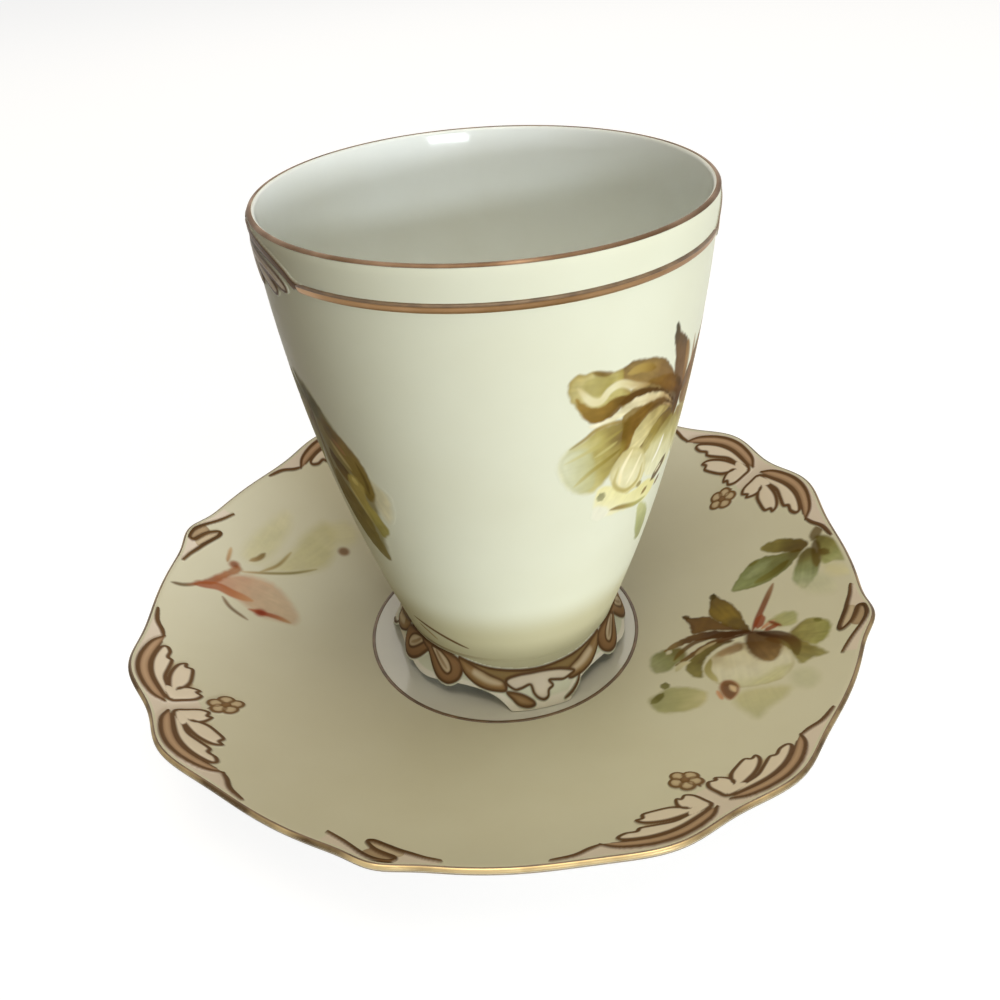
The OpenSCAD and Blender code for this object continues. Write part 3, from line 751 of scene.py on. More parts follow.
def tone_run(tones, share):
    """Colour at a share of the way through a row of hex tones."""
    stops = np.array([linear(t) for t in tones.split()])
    at = np.linspace(0, 1, len(stops))
    return np.stack([np.interp(share, at, stops[:, k]) for k in range(3)], axis=-1)


print("curve helpers ready")

# %% [markdown]
# ## The china painter's sheet
# The sheet keeps a colour, a height and a cover for every point. Three strokes are enough for all the work: a
# filled shape that can be raised and bordered; a line that thins towards its ends; and a wash, which is a
# petal or leaf of thin colour from its root to its tip, with streaks from the hairs of the brush, clouds
# where the colour pooled, a ragged edge and, if wanted, a darker rim.

# %% Sheet and strokes
line_brown = "#654A30"
ridge_rise, ridge_soft = 0.2, 0.16
hair_long, hair_wide, pool_size, rag_size = 5, 0.5, 2.4, 0.9
pool_shift, rag_streak, rag_edge = 0.16, 0.8, 0.22
rim_wide, rim_soft, rim_cloud, rim_share = 0.8, 0.9, 0.4, 0.6
margin, wash_margin, wash_reach, seed_step = 1.0, 0.5, 0.4, 1.7


def cloud(at, seed):
    """Smooth noise between about -1 and 1 at flat points; one unit is one blotch."""
    return np.array([noise.noise((x, y, seed)) for x, y in at])


class Sheet:
    """A flat drawing between four borders, with points a pitch apart, all in millimetres."""

    def __init__(self, left, right, low, high, pitch, ground):
        self.across, self.up = np.arange(left, right, pitch), np.arange(low, high, pitch)
        u, v = np.meshgrid(self.across, self.up, indexing="ij")
        self.at = np.column_stack([u.ravel(), v.ravel()])
        self.colour = np.repeat([ground], len(self.at), axis=0)
        self.height, self.cover = np.zeros(len(self.at)), np.zeros(len(self.at))

    def lay(self, where, amount, tone):
        mix = amount[:, None]
        self.colour[where] = self.colour[where] * (1 - mix) + tone * mix
        self.cover[where] = np.maximum(self.cover[where], amount)

    def raise_to(self, where, dome):
        self.height[where] = np.maximum(self.height[where], dome)

    def near(self, drawn, reach):
        low, high = np.min(drawn, axis=0) - reach, np.max(drawn, axis=0) + reach
        return np.nonzero(np.all((self.at > low) & (self.at < high), axis=1))[0]

    def shape(self, drawn, tones, rise=0.0, rounding=0.8, opacity=1.0, soft=0.1, straight=False,
              border=0.0):
        """Filled outline, or a list of outlines that flow into one. The tones run from the border inwards
        over the rounding, and a raised brown line as wide as border follows the edge."""
        parts = drawn if np.ndim(drawn[0]) > 1 else [drawn]
        parts = [np.asarray(p, float) if straight else smooth_curve(p, closed=True) for p in parts]
        where = self.near(np.vstack(parts), margin)
        depth = np.max([depth_in(self.at[where], p) for p in parts], axis=0)
        self.lay(where, opacity * ease(depth, -soft, soft), tone_run(tones, depth / rounding))
        self.raise_to(where, rise * np.sqrt(1 - (1 - np.clip(depth / rounding, 0, 1)) ** 2))
        if border:
            ridge = ease(border / 2 - np.abs(depth), -ridge_soft, ridge_soft)
            self.lay(where, ridge, linear(line_brown))
            self.raise_to(where, ridge_rise * ridge)

    def line(self, drawn, width, tones, thin=0.3, rise=0.0, soft=0.16, opacity=1.0):
        """Brush line of a width that thins towards both ends. The tones run along it."""
        path = smooth_curve(drawn)
        where = self.near(path, width + margin)
        far, share = nearest(self.at[where], path)
        half = width / 2 * (1 - thin * (2 * share - 1) ** 4)
        self.lay(where, opacity * ease(half - far, -soft, soft), tone_run(tones, share))
        self.raise_to(where, rise * np.sqrt(np.clip(1 - (far / np.maximum(half, 1e-6)) ** 2, 0, 1)))

    def wash(self, drawn, root, tip, tones, soft=0.25, opacity=0.95, rim=None, seed=0.0, streak=0.15):
        """Petal or leaf of thin colour. The tones run from root to tip, streaked by the brush's hairs and
        clouded where the colour pooled; rim is a darker tone along the border."""
        outline = smooth_curve(drawn, closed=True)
        where = self.near(outline, soft + wash_margin)
        depth = depth_in(self.at[where], outline)
        reached = depth > -soft - wash_reach
        where, depth = where[reached], depth[reached]
        ahead = np.subtract(tip, root)
        length = np.hypot(*ahead)
        along = (self.at[where] - root) @ ahead / length
        aside = (self.at[where] - root) @ (-ahead[1], ahead[0]) / length
        hairs = cloud(np.column_stack([along / hair_long, aside / hair_wide]), seed)
        pools = cloud(self.at[where] / pool_size, seed + 7)
        ragged = cloud(self.at[where] / rag_size, seed + 3)
        shade = 1 + streak * (hairs + pools + rag_streak * ragged)
        tone = tone_run(tones, along / length + pool_shift * pools) * shade[:, None]
        if rim:
            pooled = ease(rim_wide - depth + rim_cloud * pools, 0, rim_soft)[:, None] * rim_share
            tone = tone * (1 - pooled) + linear(rim) * pooled
        self.lay(where, opacity * ease(depth + rag_edge * ragged, -soft, soft), tone)

    def strokes(self, rows, **extra):
        """Several lines, each one the text of its path, a width and its tones."""
        for drawn, width, tones in rows:
            self.line(xy(drawn), width, tones, **extra)

    def washes(self, rows):
        """Several washes, each one the texts of its outline and of its root and tip, its tones and what
        else it needs."""
        for k, (drawn, ends, tones, extra) in enumerate(rows):
            self.wash(xy(drawn), *xy(ends), tones, seed=seed_step * k, **extra)


print("sheet ready")

# %% [markdown]
# ## Laying a sheet on the ware
# Only the cells with something drawn in them are kept. A copy of them below the glaze and a wall round their
# border close the shell, and its border sinks just under the glaze. Cells that would touch at one corner
# only get a neighbour, so that no edge has more than two faces. Relief has the ground's satin glaze;
# painting, which stands for no solid, is overglaze enamel.

# %% From sheet to piece
faint, film, full_film, buried = 0.012, 0.02, 0.05, 0.15


def lay_sheet(sheet, place, name, body, nodes=()):
    material = satin_cream if nodes else overglaze
    n, m = len(sheet.across), len(sheet.up)
    drawn = (sheet.cover > faint).reshape(n, m)
    keep = drawn[:-1, :-1] | drawn[1:, :-1] | drawn[:-1, 1:] | drawn[1:, 1:]
    while True:
        slant = keep[:-1, :-1] & keep[1:, 1:] & ~keep[1:, :-1] & ~keep[:-1, 1:]
        other = ~keep[:-1, :-1] & ~keep[1:, 1:] & keep[1:, :-1] & keep[:-1, 1:]
        if not (slant.any() or other.any()):
            break
        keep[1:, :-1] |= slant
        keep[:-1, :-1] |= other
    index = np.arange(n * m).reshape(n, m)
    i, j = np.nonzero(keep)
    top = np.stack([index[i, j], index[i + 1, j], index[i + 1, j + 1], index[i, j + 1]], axis=1)
    used, top = np.unique(top, return_inverse=True)
    top = top.reshape(-1, 4)
    count = len(used)
    edges = np.vstack([top[:, [k, (k + 1) % 4]] for k in range(4)])
    border = edges[~np.isin(edges[:, 0] * count + edges[:, 1], edges[:, 1] * count + edges[:, 0])]
    walls = np.stack([border[:, 1], border[:, 0], border[:, 0] + count, border[:, 1] + count], axis=1)
    u, v = sheet.at[used].T
    lift = sheet.height[used] + film * ease(sheet.cover[used], 0, full_film)
    lift[np.unique(border)] = -film
    points = np.vstack([place(u, v, lift), place(u, v, np.full(count, -buried))])
    faces = np.vstack([top, top[:, ::-1] + count, walls]).tolist()
    colours = np.vstack([sheet.colour[used]] * 2)
    add_piece(name, points, faces, [material], body, nodes, colours)


print("sheets can be laid")

# %% [markdown]
# ## Leaf ornaments on the saucer
# Four times round the edge, two leaves spread from a little flower. Outside each leaf runs a crescent between
# two brown lines; it ends in a corner and a tail, and the strip from there to the gold is pale pink. The
# leaf is a raised, pale shape of four fingers that flow into one, with a brown line along its border. A
# soft brown shade in the notches makes it stand out more than its low rise would. One half is drawn in
# millimetres along and in from the edge, and the other mirrors it.

# %% Saucer leaves
leaf_pale, pale_pink, gold_ends = "#E4D8C6", "#E0D2C6", 0.95
crescent_outer = xy("1.2,2.9 3,1.75 6,1.4 10,1.45 14,1.7 17,2.3 18.8,3.6")
crescent_inner = xy("17.2,3.7 15,3.5 11.4,3.2 8,3.1 5,3.1 2.4,3.2")
tail_line = xy("18.8,3.5 20.4,2.9 22.8,1.7 26,1.2")
palm = xy("1.7,3.6 4.4,3.6 5.6,4.5 4.6,5.6 3,5.6 1.7,4.8")
long_finger = xy("2.2,3.4 6.5,3.3 10,3.4 13.4,3.6 15.7,4 15.9,4.8 14.6,5.5 13.1,5.5 12.2,6.2 10,5.8 "
                 "7.4,4.9 4.6,4.5")
short_finger = xy("3.6,4.5 7,5.4 9.4,6.3 11.3,7.3 11.8,8.3 10.8,8.4 10.2,9.3 8.2,9 6,8 4.2,6")
round_lobe = xy("1.5,3.8 1.3,5.6 1.5,7.4 2.4,8.5 3.4,8.2 4,8.8 4.8,7.8 4.9,6.6 4.2,5.2")
notch_shades = [[(6.4, 4.9), (9, 5.9), (11.6, 6.6)], [(4.8, 6.0), (5.6, 7.6), (5.9, 8.4)]]


def flip(drawn):
    return [(-x, y) for x, y in drawn]


def ring_of(middle, size, count=8):
    turns = np.linspace(0, 2 * math.pi, count, endpoint=False)
    return [(middle[0] + size * math.cos(b), middle[1] + size * math.sin(b)) for b in turns]


def draw_leaf(sheet):
    for side in (list, flip):
        strip = [(x, gold_ends) for x in np.arange(0, 26.1, 2)] + tail_line[::-1] + crescent_outer[::-1]
        strip += [(1.3, 4.6), (1.2, 7.6), (0, 7.8)]
        sheet.shape(side(strip), pale_pink, straight=True, opacity=0.85, soft=0.2)
        sheet.shape(side(crescent_outer + crescent_inner), "#82644C #AA8B6E #BEA184", rise=0.24,
                    rounding=0.9)
        for shade in notch_shades:
            sheet.line(side(shade), 1.2, "#8A6A44 #A68A60 #BFA984", thin=0.7, soft=0.35, opacity=0.75)
        fingers = [side(part) for part in (palm, long_finger, short_finger, round_lobe)]
        sheet.shape(fingers, "#CDBAA0 " + leaf_pale + " " + leaf_pale, rise=0.28, rounding=0.9, border=0.68)
        for notch in ([(5.4, 4.7), (7.6, 5.1)], [(4.3, 5.7), (4.9, 6.6)]):
            sheet.line(side(notch), 0.66, line_brown, thin=0.4, rise=0.2)
        sheet.line(side(crescent_outer), 0.7, line_brown, thin=0.2, rise=0.26)
        sheet.line(side(crescent_inner), 0.5, line_brown, thin=0.5, rise=0.1)
        sheet.line(side(tail_line), 0.8, line_brown, thin=0.35, rise=0.24)
    sheet.line([(1.0, 8.7), (0.9, 9.4), (0.6, 10.2)], 0.5, line_brown)
    flower, petal_off, petal_r = np.array([0.5, 11.4]), 1.55, 1.15
    petals = [ring_of(flower + petal_off * np.array([math.cos(a), math.sin(a)]), petal_r)
              for a in np.radians([15, 90, 165, 240, 305])]
    sheet.shape(petals, "#B09878 #C6B494", rise=0.26, rounding=0.8, border=0.56)
    for petal in petals:
        sheet.line(petal + petal[:1], 0.35, "#7A5C3A", thin=0, opacity=0.8)
    sheet.shape(ring_of(flower, 0.8), "#6E5032 #866846", rise=0.32, rounding=0.5)


leaf_sheet = Sheet(-27.5, 27.5, 0.9, 14.9, 0.16, saucer_cream_shaded)
draw_leaf(leaf_sheet)
for k in range(4):
    lay_sheet(leaf_sheet, along_edge(leaf_turn + ornament_step * k), f"leaf_ornament_{k + 1}", "saucer",
              [f"saucer_leaf_relief_{k + 1}"])

# %% [markdown]
# ## Scrolls on the saucer
# Between the leaves an S-shaped scroll sits on a small swelling of the edge. It is one raised brown line that
# turns back on itself twice, with a brown wash between its strokes and pale pink up to the gold.

# %% Saucer scrolls
scroll_path = xy("-9,3 -6,2.4 -2.6,1.7 0.4,1.2 2.1,1.2 2.2,2.1 0.6,2.9 -1.6,3.6 -2.9,4.4 -1.8,5.1 0.4,4.8 "
                 "3.2,3.5 6,2.2 8.4,1.6")
scroll_strip = [(x, gold_ends) for x in (-8.8, -4, 0, 4, 8.2)]
scroll_strip += xy("8.4,1.6 6,2.2 3.2,3.5 2.2,1.8 0.4,1.3 -2.6,1.8 -6,2.4 -8.8,2.9")
lower_fold = xy("-2.4,1.8 0.4,1.3 2.1,1.4 2,2.1 0.5,2.8 -1.6,3.5")
upper_fold = xy("-2.4,4.4 0.6,3.1 2.4,2.4 3,3.3 0.4,4.6 -1.6,4.9")
scroll_sheet = Sheet(-10.4, 9.8, 0.9, 6.6, 0.14, saucer_cream_shaded)
scroll_sheet.shape(scroll_strip, pale_pink, straight=True, opacity=0.8, soft=0.3)
scroll_sheet.shape(lower_fold, "#8F7254 #A88C6A", opacity=0.85)
scroll_sheet.shape(upper_fold, "#B39B7C #CDBBA0", opacity=0.8)
scroll_sheet.line(scroll_path, 0.8, "#6A5034 #553D24 #60462A #553D24 #6A5034", thin=0.25, rise=0.34)
for k in range(4):
    lay_sheet(scroll_sheet, along_edge(leaf_turn + ornament_step * (k + 0.5)), f"scroll_{k + 1}", "saucer",
              [f"saucer_scroll_relief_{k + 1}"])

# %% [markdown]
# ## Ornaments under the cup's lip
# The rim ornament is the saucer's leaf again, hung from the lip on both sides of the cup, where the band
# stops. Its crescent falls from the middle down to the end of the band.

# %% Rim ornaments
rim_outer = xy("0.6,81.2 4,81.3 8,80.9 12.6,80 16,78.7 17.8,77.6 19.8,77.2")
rim_inner = xy("17.4,76.6 15.2,77.9 12.2,78.9 8,79.4 4,79.7 1.2,79.7")
rim_palm = xy("1,79.2 5,79.1 8.4,78.4 8,77.2 5,76.9 2,77.6")
rim_long = xy("3,79.2 8,78.8 12,78.1 14.9,76.9 15.6,75.8 14.2,75.7 11,76.8 5,77.9")
rim_short = xy("5,77.6 8.4,77.2 11,76.4 12.6,75.2 12,74.4 10.6,74.6 7,76")
rim_lobe = xy("1,78.6 3.2,78.2 5.6,76.9 7,75.3 6.4,74.2 4.9,74.4 2.4,76")
rim_sheet = Sheet(-21, 21, 73.2, 81.62, 0.16, cup_cream)
for side in (list, flip):
    rim_sheet.shape(side(rim_outer + rim_inner), "#6B5036 #94765A #BBA386", rise=0.28, rounding=1.3)
    for shade in ([(7.6, 77.4), (10, 76.7), (13.4, 75.5)], [(5.4, 77.2), (7, 75.9), (7.8, 74.9)]):
        rim_sheet.line(side(shade), 1.2, "#7A5E42 #9A7F5E", thin=0.6, soft=0.35, opacity=0.8)
    fingers = [side(part) for part in (rim_palm, rim_long, rim_short, rim_lobe)]
    rim_sheet.shape(fingers, "#C9B59B " + leaf_pale + " " + leaf_pale, rise=0.3, rounding=0.9, border=0.5)
    rim_sheet.line(side([(4, 78.7), (9, 78.0), (13.6, 76.8)]), 0.5, "#8F7250 #C2AC8C", thin=0.8, soft=0.3)
    rim_sheet.line(side(rim_outer), 0.65, line_brown, thin=0.1, rise=0.28)
    rim_sheet.line(side(rim_inner), 0.5, line_brown, thin=0.3)
for name, mid in (("left", 180), ("right", 0)):
    lay_sheet(rim_sheet, round_wall(bell_r, mid), f"rim_ornament_{name}", "cup", [f"cup_rim_relief_{name}"])

# %% [markdown]
# ## Ornaments on the foot
# Each of the three tongues carries a three-lobed leaf between two brown wings with pale middles, a small wing
# and a line below it, and a brown line along the top. The lower edge keeps a pale border. Everything is drawn
# on the flare of the foot, with heights measured from the floor of the well.

# %% Foot leaves
tongue_turn = 270
foot_leaf = xy("-5.3,4.4 -4.9,5.2 -3,5.7 -1.1,5.8 1.2,5.8 4,5.3 6.5,4.2 5.9,3.8 4.5,3.5 3.1,3.8 1.9,4 "
               "2.4,3.1 1.6,2.6 1.3,1.7 0.5,1.4 -0.4,1.8 -1,2.6 -1.4,3.9 -3,3.5 -4.1,3.4")
foot_wing = xy("13.2,7.7 12.7,5.6 11.1,4.2 9.4,3.5 7.4,3.2 5.6,3.3 5.7,4.6 7.8,5.6 9.8,6.5 11.4,7.3")
wing_light = xy("10.6,6.4 11,5.4 9.2,4.4 7.4,4 6.1,4.1 6.2,4.7 8,5.4 9.4,6.1")
low_wing = xy("-5.4,3 -4.7,2 -3.8,1.1 -2.4,0.7 -1.2,0.9 -1.5,1.6 -3.2,2.6")
top_line = xy("-13.2,8 -10.2,7.3 -7.4,6.8 -3.6,6.5 0,6.35 3.6,6.5 7.4,6.8 10.2,7.3 13.2,8")
foot_sheet = Sheet(-14, 14, 0.35, 8.1, 0.14, cup_cream)
foot_sheet.shape(top_line + [(9, 5.4), (4, 4.4), (0, 4.6), (-4, 4.4), (-9, 5.4)],
                 "#8A6E46 #9A8258", soft=0.2, straight=True)
for side in (list, flip):
    foot_sheet.shape(side(foot_wing), "#7A5C3A #9C7C54 #AE9068", rise=0.34, rounding=1.2, border=0.45)
    foot_sheet.shape(side(wing_light), "#C2AA86 #DDCDB0", rounding=0.6, opacity=0.9, soft=0.3)
foot_sheet.shape(low_wing, "#7E603C #A88A62", rise=0.32, rounding=0.8, border=0.45)
foot_sheet.line([(7.7, 3.3), (7, 2.2), (5.7, 1.3), (4.2, 0.75)], 0.6, line_brown, thin=0.4, rise=0.2)
foot_sheet.shape(foot_leaf, "#D6C6AE #E6DBC8 #EADFCE", rise=0.4, rounding=0.9, border=0.5)
foot_sheet.line(top_line, 0.55, line_brown, thin=0.4, rise=0.15)
for k in range(3):
    lay_sheet(foot_sheet, round_wall(flare_r, tongue_turn + foot_step * k), f"foot_leaf_{k + 1}", "cup",
              [f"foot_leaf_relief_{k + 1}"])

# %% [markdown]
# ## Loops on the foot
# Over each arch hang two hairpin loops that mirror each other. Each one is a raised brown rim round a pale
# slit with a fold in it, and the second is drawn over the first where they meet.

# %% Foot loops
loop_rim = xy("-1.4,8.1 -0.1,6.6 1.9,4.2 3.8,3 5.9,2.9 7.4,4.1 7.5,6 6.4,7.5 4,8.1")
loop_slit = xy("1,7.8 2.2,6.2 3.9,4.7 5.2,4.3 5.7,5.2 4.8,6.7 3,7.8")
slit_fold = xy("2,7.6 3.4,6.2 4.8,5.1")
loop_sheet = Sheet(-8.4, 8.4, 1.9, 8.1, 0.14, cup_cream)
for side in (flip, list):
    loop_sheet.shape(side(loop_rim), "#6A4C30 #8E6C4A #997652", rise=0.42, rounding=1.0, border=0.5)
    loop_sheet.shape(side(loop_slit), "#A5886A #CDB896 #D6C5A8", rounding=0.7, border=0.4)
    loop_sheet.line(side(slit_fold), 0.6, "#8A6A4A #A98C68", thin=0.6, soft=0.2, opacity=0.8)
for k in range(3):
    lay_sheet(loop_sheet, round_wall(flare_r, arch_turn + foot_step * k), f"foot_loops_{k + 1}", "cup",
              [f"foot_loop_relief_{k + 1}"])

# %% [markdown]
# ## Flowers on the cup
# The flowers are overglaze enamels: thin, soft washes of olive, mustard, brown and cream, painted from the
# heart outwards and fired at a low heat. Each petal is one or two washes with their own rows of tones, laid
# from the back of the blossom to the front, and the stamens and veins come last as thin lines. They are
# flowers of the usual garden kind, put together for this cup.

# %% Cup blossom
blossom_turn = 300
blossom = Sheet(-18, 27, 26, 71, 0.18, cup_cream)
heart = "8.6,54.4 "
blossom.washes([
    ("3.2,38.4 5.8,36.6 7.6,33.4 7.4,29.2 5.9,28.8 4.6,31.4 3.6,34.8", "4,38 6.6,28.6",
     "#C4C48E #A6A974 #9C9C6C", {"soft": 0.35, "streak": 0.08}),
    ("9.4,56 13,60.4 18,64 22,63.4 21.6,59.6 17,56.6 12,54.6", heart + "22,63",
     "#5E4222 #6B4C2A #7E6236 #A5955A", {"rim": "#6E5228"}),
    ("9.6,54.4 14,56.4 20,57 25,54.4 24.6,50.4 19,49 13,51.2", heart + "25,52",
     "#6A4A26 #8A6C3A #C2B67E #E0DDBC", {"rim": "#8A7442"}),
    ("9.4,52.6 14,51 19,47.4 20.6,42.6 17.6,39.6 13,42.4 10,47", heart + "18,40",
     "#7A5C2E #A8985C #D8D4AE #E2E2CC", {"rim": "#A99C66"}),
    ("4.7,68.4 6.2,66.4 8.4,64.6 10,62 10.2,58.6 9.8,55.4 8.4,54.6 6.2,59 5.4,63 4.4,66",
     "4.7,68.4 9.4,55", "#3E331C #523A1E #664522 #6E4C26 #5E3F1E", {}),
    ("9.4,57 5,60.5 -1,61.6 -5,60.6 -4.6,57 -3.6,52 -2.4,49.8 1,48.8 7,51 9.2,53", heart + "-5,57",
     "#4E3414 #664A20 #7A602C #86703A", {}),
    ("8.6,56 6.8,58.8 5.2,61 2.6,63.8 -0.8,65.2 -4.2,65.8 -6.4,64.6 -5.4,62.8 -2.6,61.6 1,60.4 4.6,57.8",
     heart + "-6,65", "#4E3114 #6E4C20 #7A5A28 #886C32 #7E6430", {"rim": "#5E421C"}),
    ("-5.6,65 -7.6,65.2 -9.6,66 -12.8,66 -13.6,64 -12.6,61.8 -10.8,59.4 -9.2,58.2 -7.4,58.2 -5.6,59.6 "
     "-3.8,60.8 -5,62.8", "-4,62 -13.6,63", "#A3934F #B8AC68 #C9BF84 #AE9C58", {"rim": "#8E7638"}),
    ("-7,64.4 -8.8,65.2 -11,65 -11.4,63.4 -9.4,62.2 -7.4,62.8", "-7,64 -11,64", "#948846 #9C9050 #A69A5C",
     {"opacity": 0.7, "soft": 0.5}),
    ("-4,60.6 -6.4,61.2 -8.4,60.4 -10.6,61.2 -12.4,62.8 -11.2,59.6 -9.2,57.9 -7.2,57.8 -5.4,58.9",
     "-4,60 -12,61", "#5A3F18 #785A24 #86682C #947638", {}),
    ("-5.4,60 -3,61 0.6,60.2 3.8,58.4 6.6,55.8 7.6,54.8 4.6,56.6 1.4,58.6 -2,59.6 -4.4,59.4",
     heart + "-5,60", "#3E270C #482E10 #5E421A", {"soft": 0.2}),
    ("7.2,54.6 4.6,57.4 1.6,59 -1.6,59.8 -4.6,59.2 -7,58.2 -10,57.8 -8.4,57 -5.6,57.4 -2.8,58.2 0.6,57.6 "
     "3.6,56.4 6,54.8", heart + "-10,57.6", "#8A6A3E #BFA576 #DACDA2 #E0D8B2 #E6E0C2", {"soft": 0.2}),
    ("7.6,54.2 4.8,56.6 1.8,57.8 -1.4,57.6 -4,56.6 -4.2,53.6 -4,50.6 -3,50 -2,53.4 0.2,56 3.6,56.2",
     heart + "-4,51", "#40280E #5A3E18 #72541F #80642A", {"soft": 0.3}),
    ("-3.4,56.4 -6,57.1 -8.8,56.9 -10.4,55.7 -12.8,54.6 -13.8,52 -12.4,48.8 -9.8,46.4 -7.4,46 -5,48.4 "
     "-3.6,51 -3,54", "-3,54 -13.8,51", "#6E5520 #8C7A38 #A89A52 #BDB476 #CBC798 #D8D7B4",
     {"soft": 0.6, "streak": 0.08}),
    ("-13.6,52.4 -12.6,54.2 -10.6,54.4 -9,52.8 -8.2,50.2 -8,47.2 -9.8,46.4 -12.2,48.8",
     "-8.6,50.6 -13.4,50.4", "#BDBB8C #CDCFAC #D6D8BE",
     {"soft": 0.5, "opacity": 0.75, "rim": "#B4B690", "streak": 0.06}),
    ("7.6,53.6 4,55.9 0.8,55.9 -1.6,54.2 -2.2,52 -2.6,49.8 -0.6,50.2 1,51.6 3.2,53.6 6,54.4",
     heart + "-2.4,50", "#7E6230 #AA985E #CBBF88 #D4CB9A", {"soft": 0.2}),
    ("7.4,53.4 4,54 1.6,52.2 0.2,49.8 1.6,48.4 4,50.6 6.8,51.8", heart + "0.6,49",
     "#664C1E #7A6430 #978644 #C0B57A", {"soft": 0.4}),
    ("8,52.6 5,51.8 2.6,50 1.6,47.4 2.6,44.4 5.2,42.6 8.4,42 11,43 12.4,46.4 11,50", "8,52.6 6,42.4",
     "#8A7A3A #BDB47A #DEDAB0 #E6E4C2", {"soft": 0.35, "streak": 0.07}),
    ("-2.4,51.4 -4.4,50.2 -5.2,47.8 -4,45.2 -1.2,42.6 1.4,43.2 2.4,45 1.8,48 0.2,50.4", "-1,51 -1,42.6",
     "#C6BA84 #D9D2A2 #E2DCB2 #DED69E", {"rim": "#C2B67C", "streak": 0.07}),
    ("-4,45.4 -6.8,46 -7,42.6 -5.6,40.2 -2.4,39.6 2.4,38.6 5.4,38.6 7,40.6 4,42.6 1,42.4 -1.4,42.6",
     "0,44 -3,39", "#E2DB9C #E6E0AA #E8E5C0", {"soft": 0.35, "streak": 0.05}),
    ("-6.6,42.8 -7,40.6 -5,39.6 -4,41", "-5,42 -6,40", "#E4E3CE", {"soft": 0.4, "streak": 0.04})
])
blossom.strokes([
    ("9,64 10,60.4 9.8,57", 1.6, "#8A6A42 #9A7A50 #7E5A34"),
    ("12.2,63.4 12.6,60 12.4,56.4 10.6,53.4", 1.0, "#A58460 #8A6644 #6E4A2A"),
    ("0.6,63.2 -2.2,64.2 -4.6,64.2", 1.3, "#7E6028 #A68C4A #B09858"),
    ("-12.2,64.2 -10.2,61.8 -8.6,61.4 -7.4,62.6 -5.6,63 -3,61.8 -0.2,61", 1.2,
     "#CFC08C #E2DBB4 #DDD4A8 #E5DFBA #D8CC9C #C2AE80 #A0844E"),
    ("-10.2,66 -8.4,65.3 -7.2,65.2", 0.8, "#7E6632 #6E5426 #8A7240"),
    ("-4.4,55.4 -9,53.8 -13,52.4", 0.6, "#968640 #B8AE6C #CFCB9C"),
    ("-4.2,52 -8.4,50 -11,48", 0.8, "#7A6628 #A0924C #C3BC84"),
    ("-5,53.6 -8.4,52.2", 0.5, "#B9AE6A #C4BC80"),
    ("-3.6,56.6 -6.2,57.1 -8.8,56.9 -10.4,55.9 -12.4,54.8", 0.6, "#7A6028 #A48E50 #9A8448 #8E7C44"),
    ("-1.6,50.8 -3,48 -3,45.2", 0.7, "#F2E6B8 #F5EECB #EFE2AE"),
    ("0.6,49 -0.4,46.6 -1.4,44.6", 0.5, "#F2EAC4 #F5EECB"),
    ("6.2,49.6 5.4,47.4 4.2,45.6", 0.6, "#FAF8F0 #F6F3E2"),
    ("-3.8,48.6 -4,45.6 -1.4,43.4 1,44.2 1.4,47", 0.7, "#C2B67E #B0A160 #BDAF72"),
    ("9.2,44.2 7.4,42.8 5.4,41.6", 1.9, "#4E371C #634A28 #523A1E"),
    ("8.6,40.8 7.2,39.6", 0.9, "#6B4F2C #7C6238"),
    ("4.4,40.9 3.2,40.2", 0.9, "#7A6234 #8A7040"),
    ("2.2,43.2 1.2,42.7", 1.0, "#8A7A3C #9A8C50"),
    ("6.2,42.6 7.8,43.4", 0.5, "#F0E8C0 #F4EED0"),
    ("-6.4,45 -5.8,43.6", 1.4, "#86845E #9C9972"),
    ("-3.8,40.8 -2,40.4 2,39 4.6,38.8", 0.9, "#7E6430 #8E7A3C #A39C54 #A8AA6C"),
    ("9.4,57 8.7,54.6 8.4,52", 1.8, "#5E3F1C #4A2F12 #6E5026")
], thin=0.8, soft=0.25, opacity=0.88)
lay_sheet(blossom, round_wall(bell_r, blossom_turn), "painted_cup_blossom", "cup")

# %% [markdown]
# ## Leaves on the other side of the cup
# A spray of dark olive leaves hangs down the left side. Leaves are painted like petals, only narrower, with a
# dark vein, and the older ones are browner.

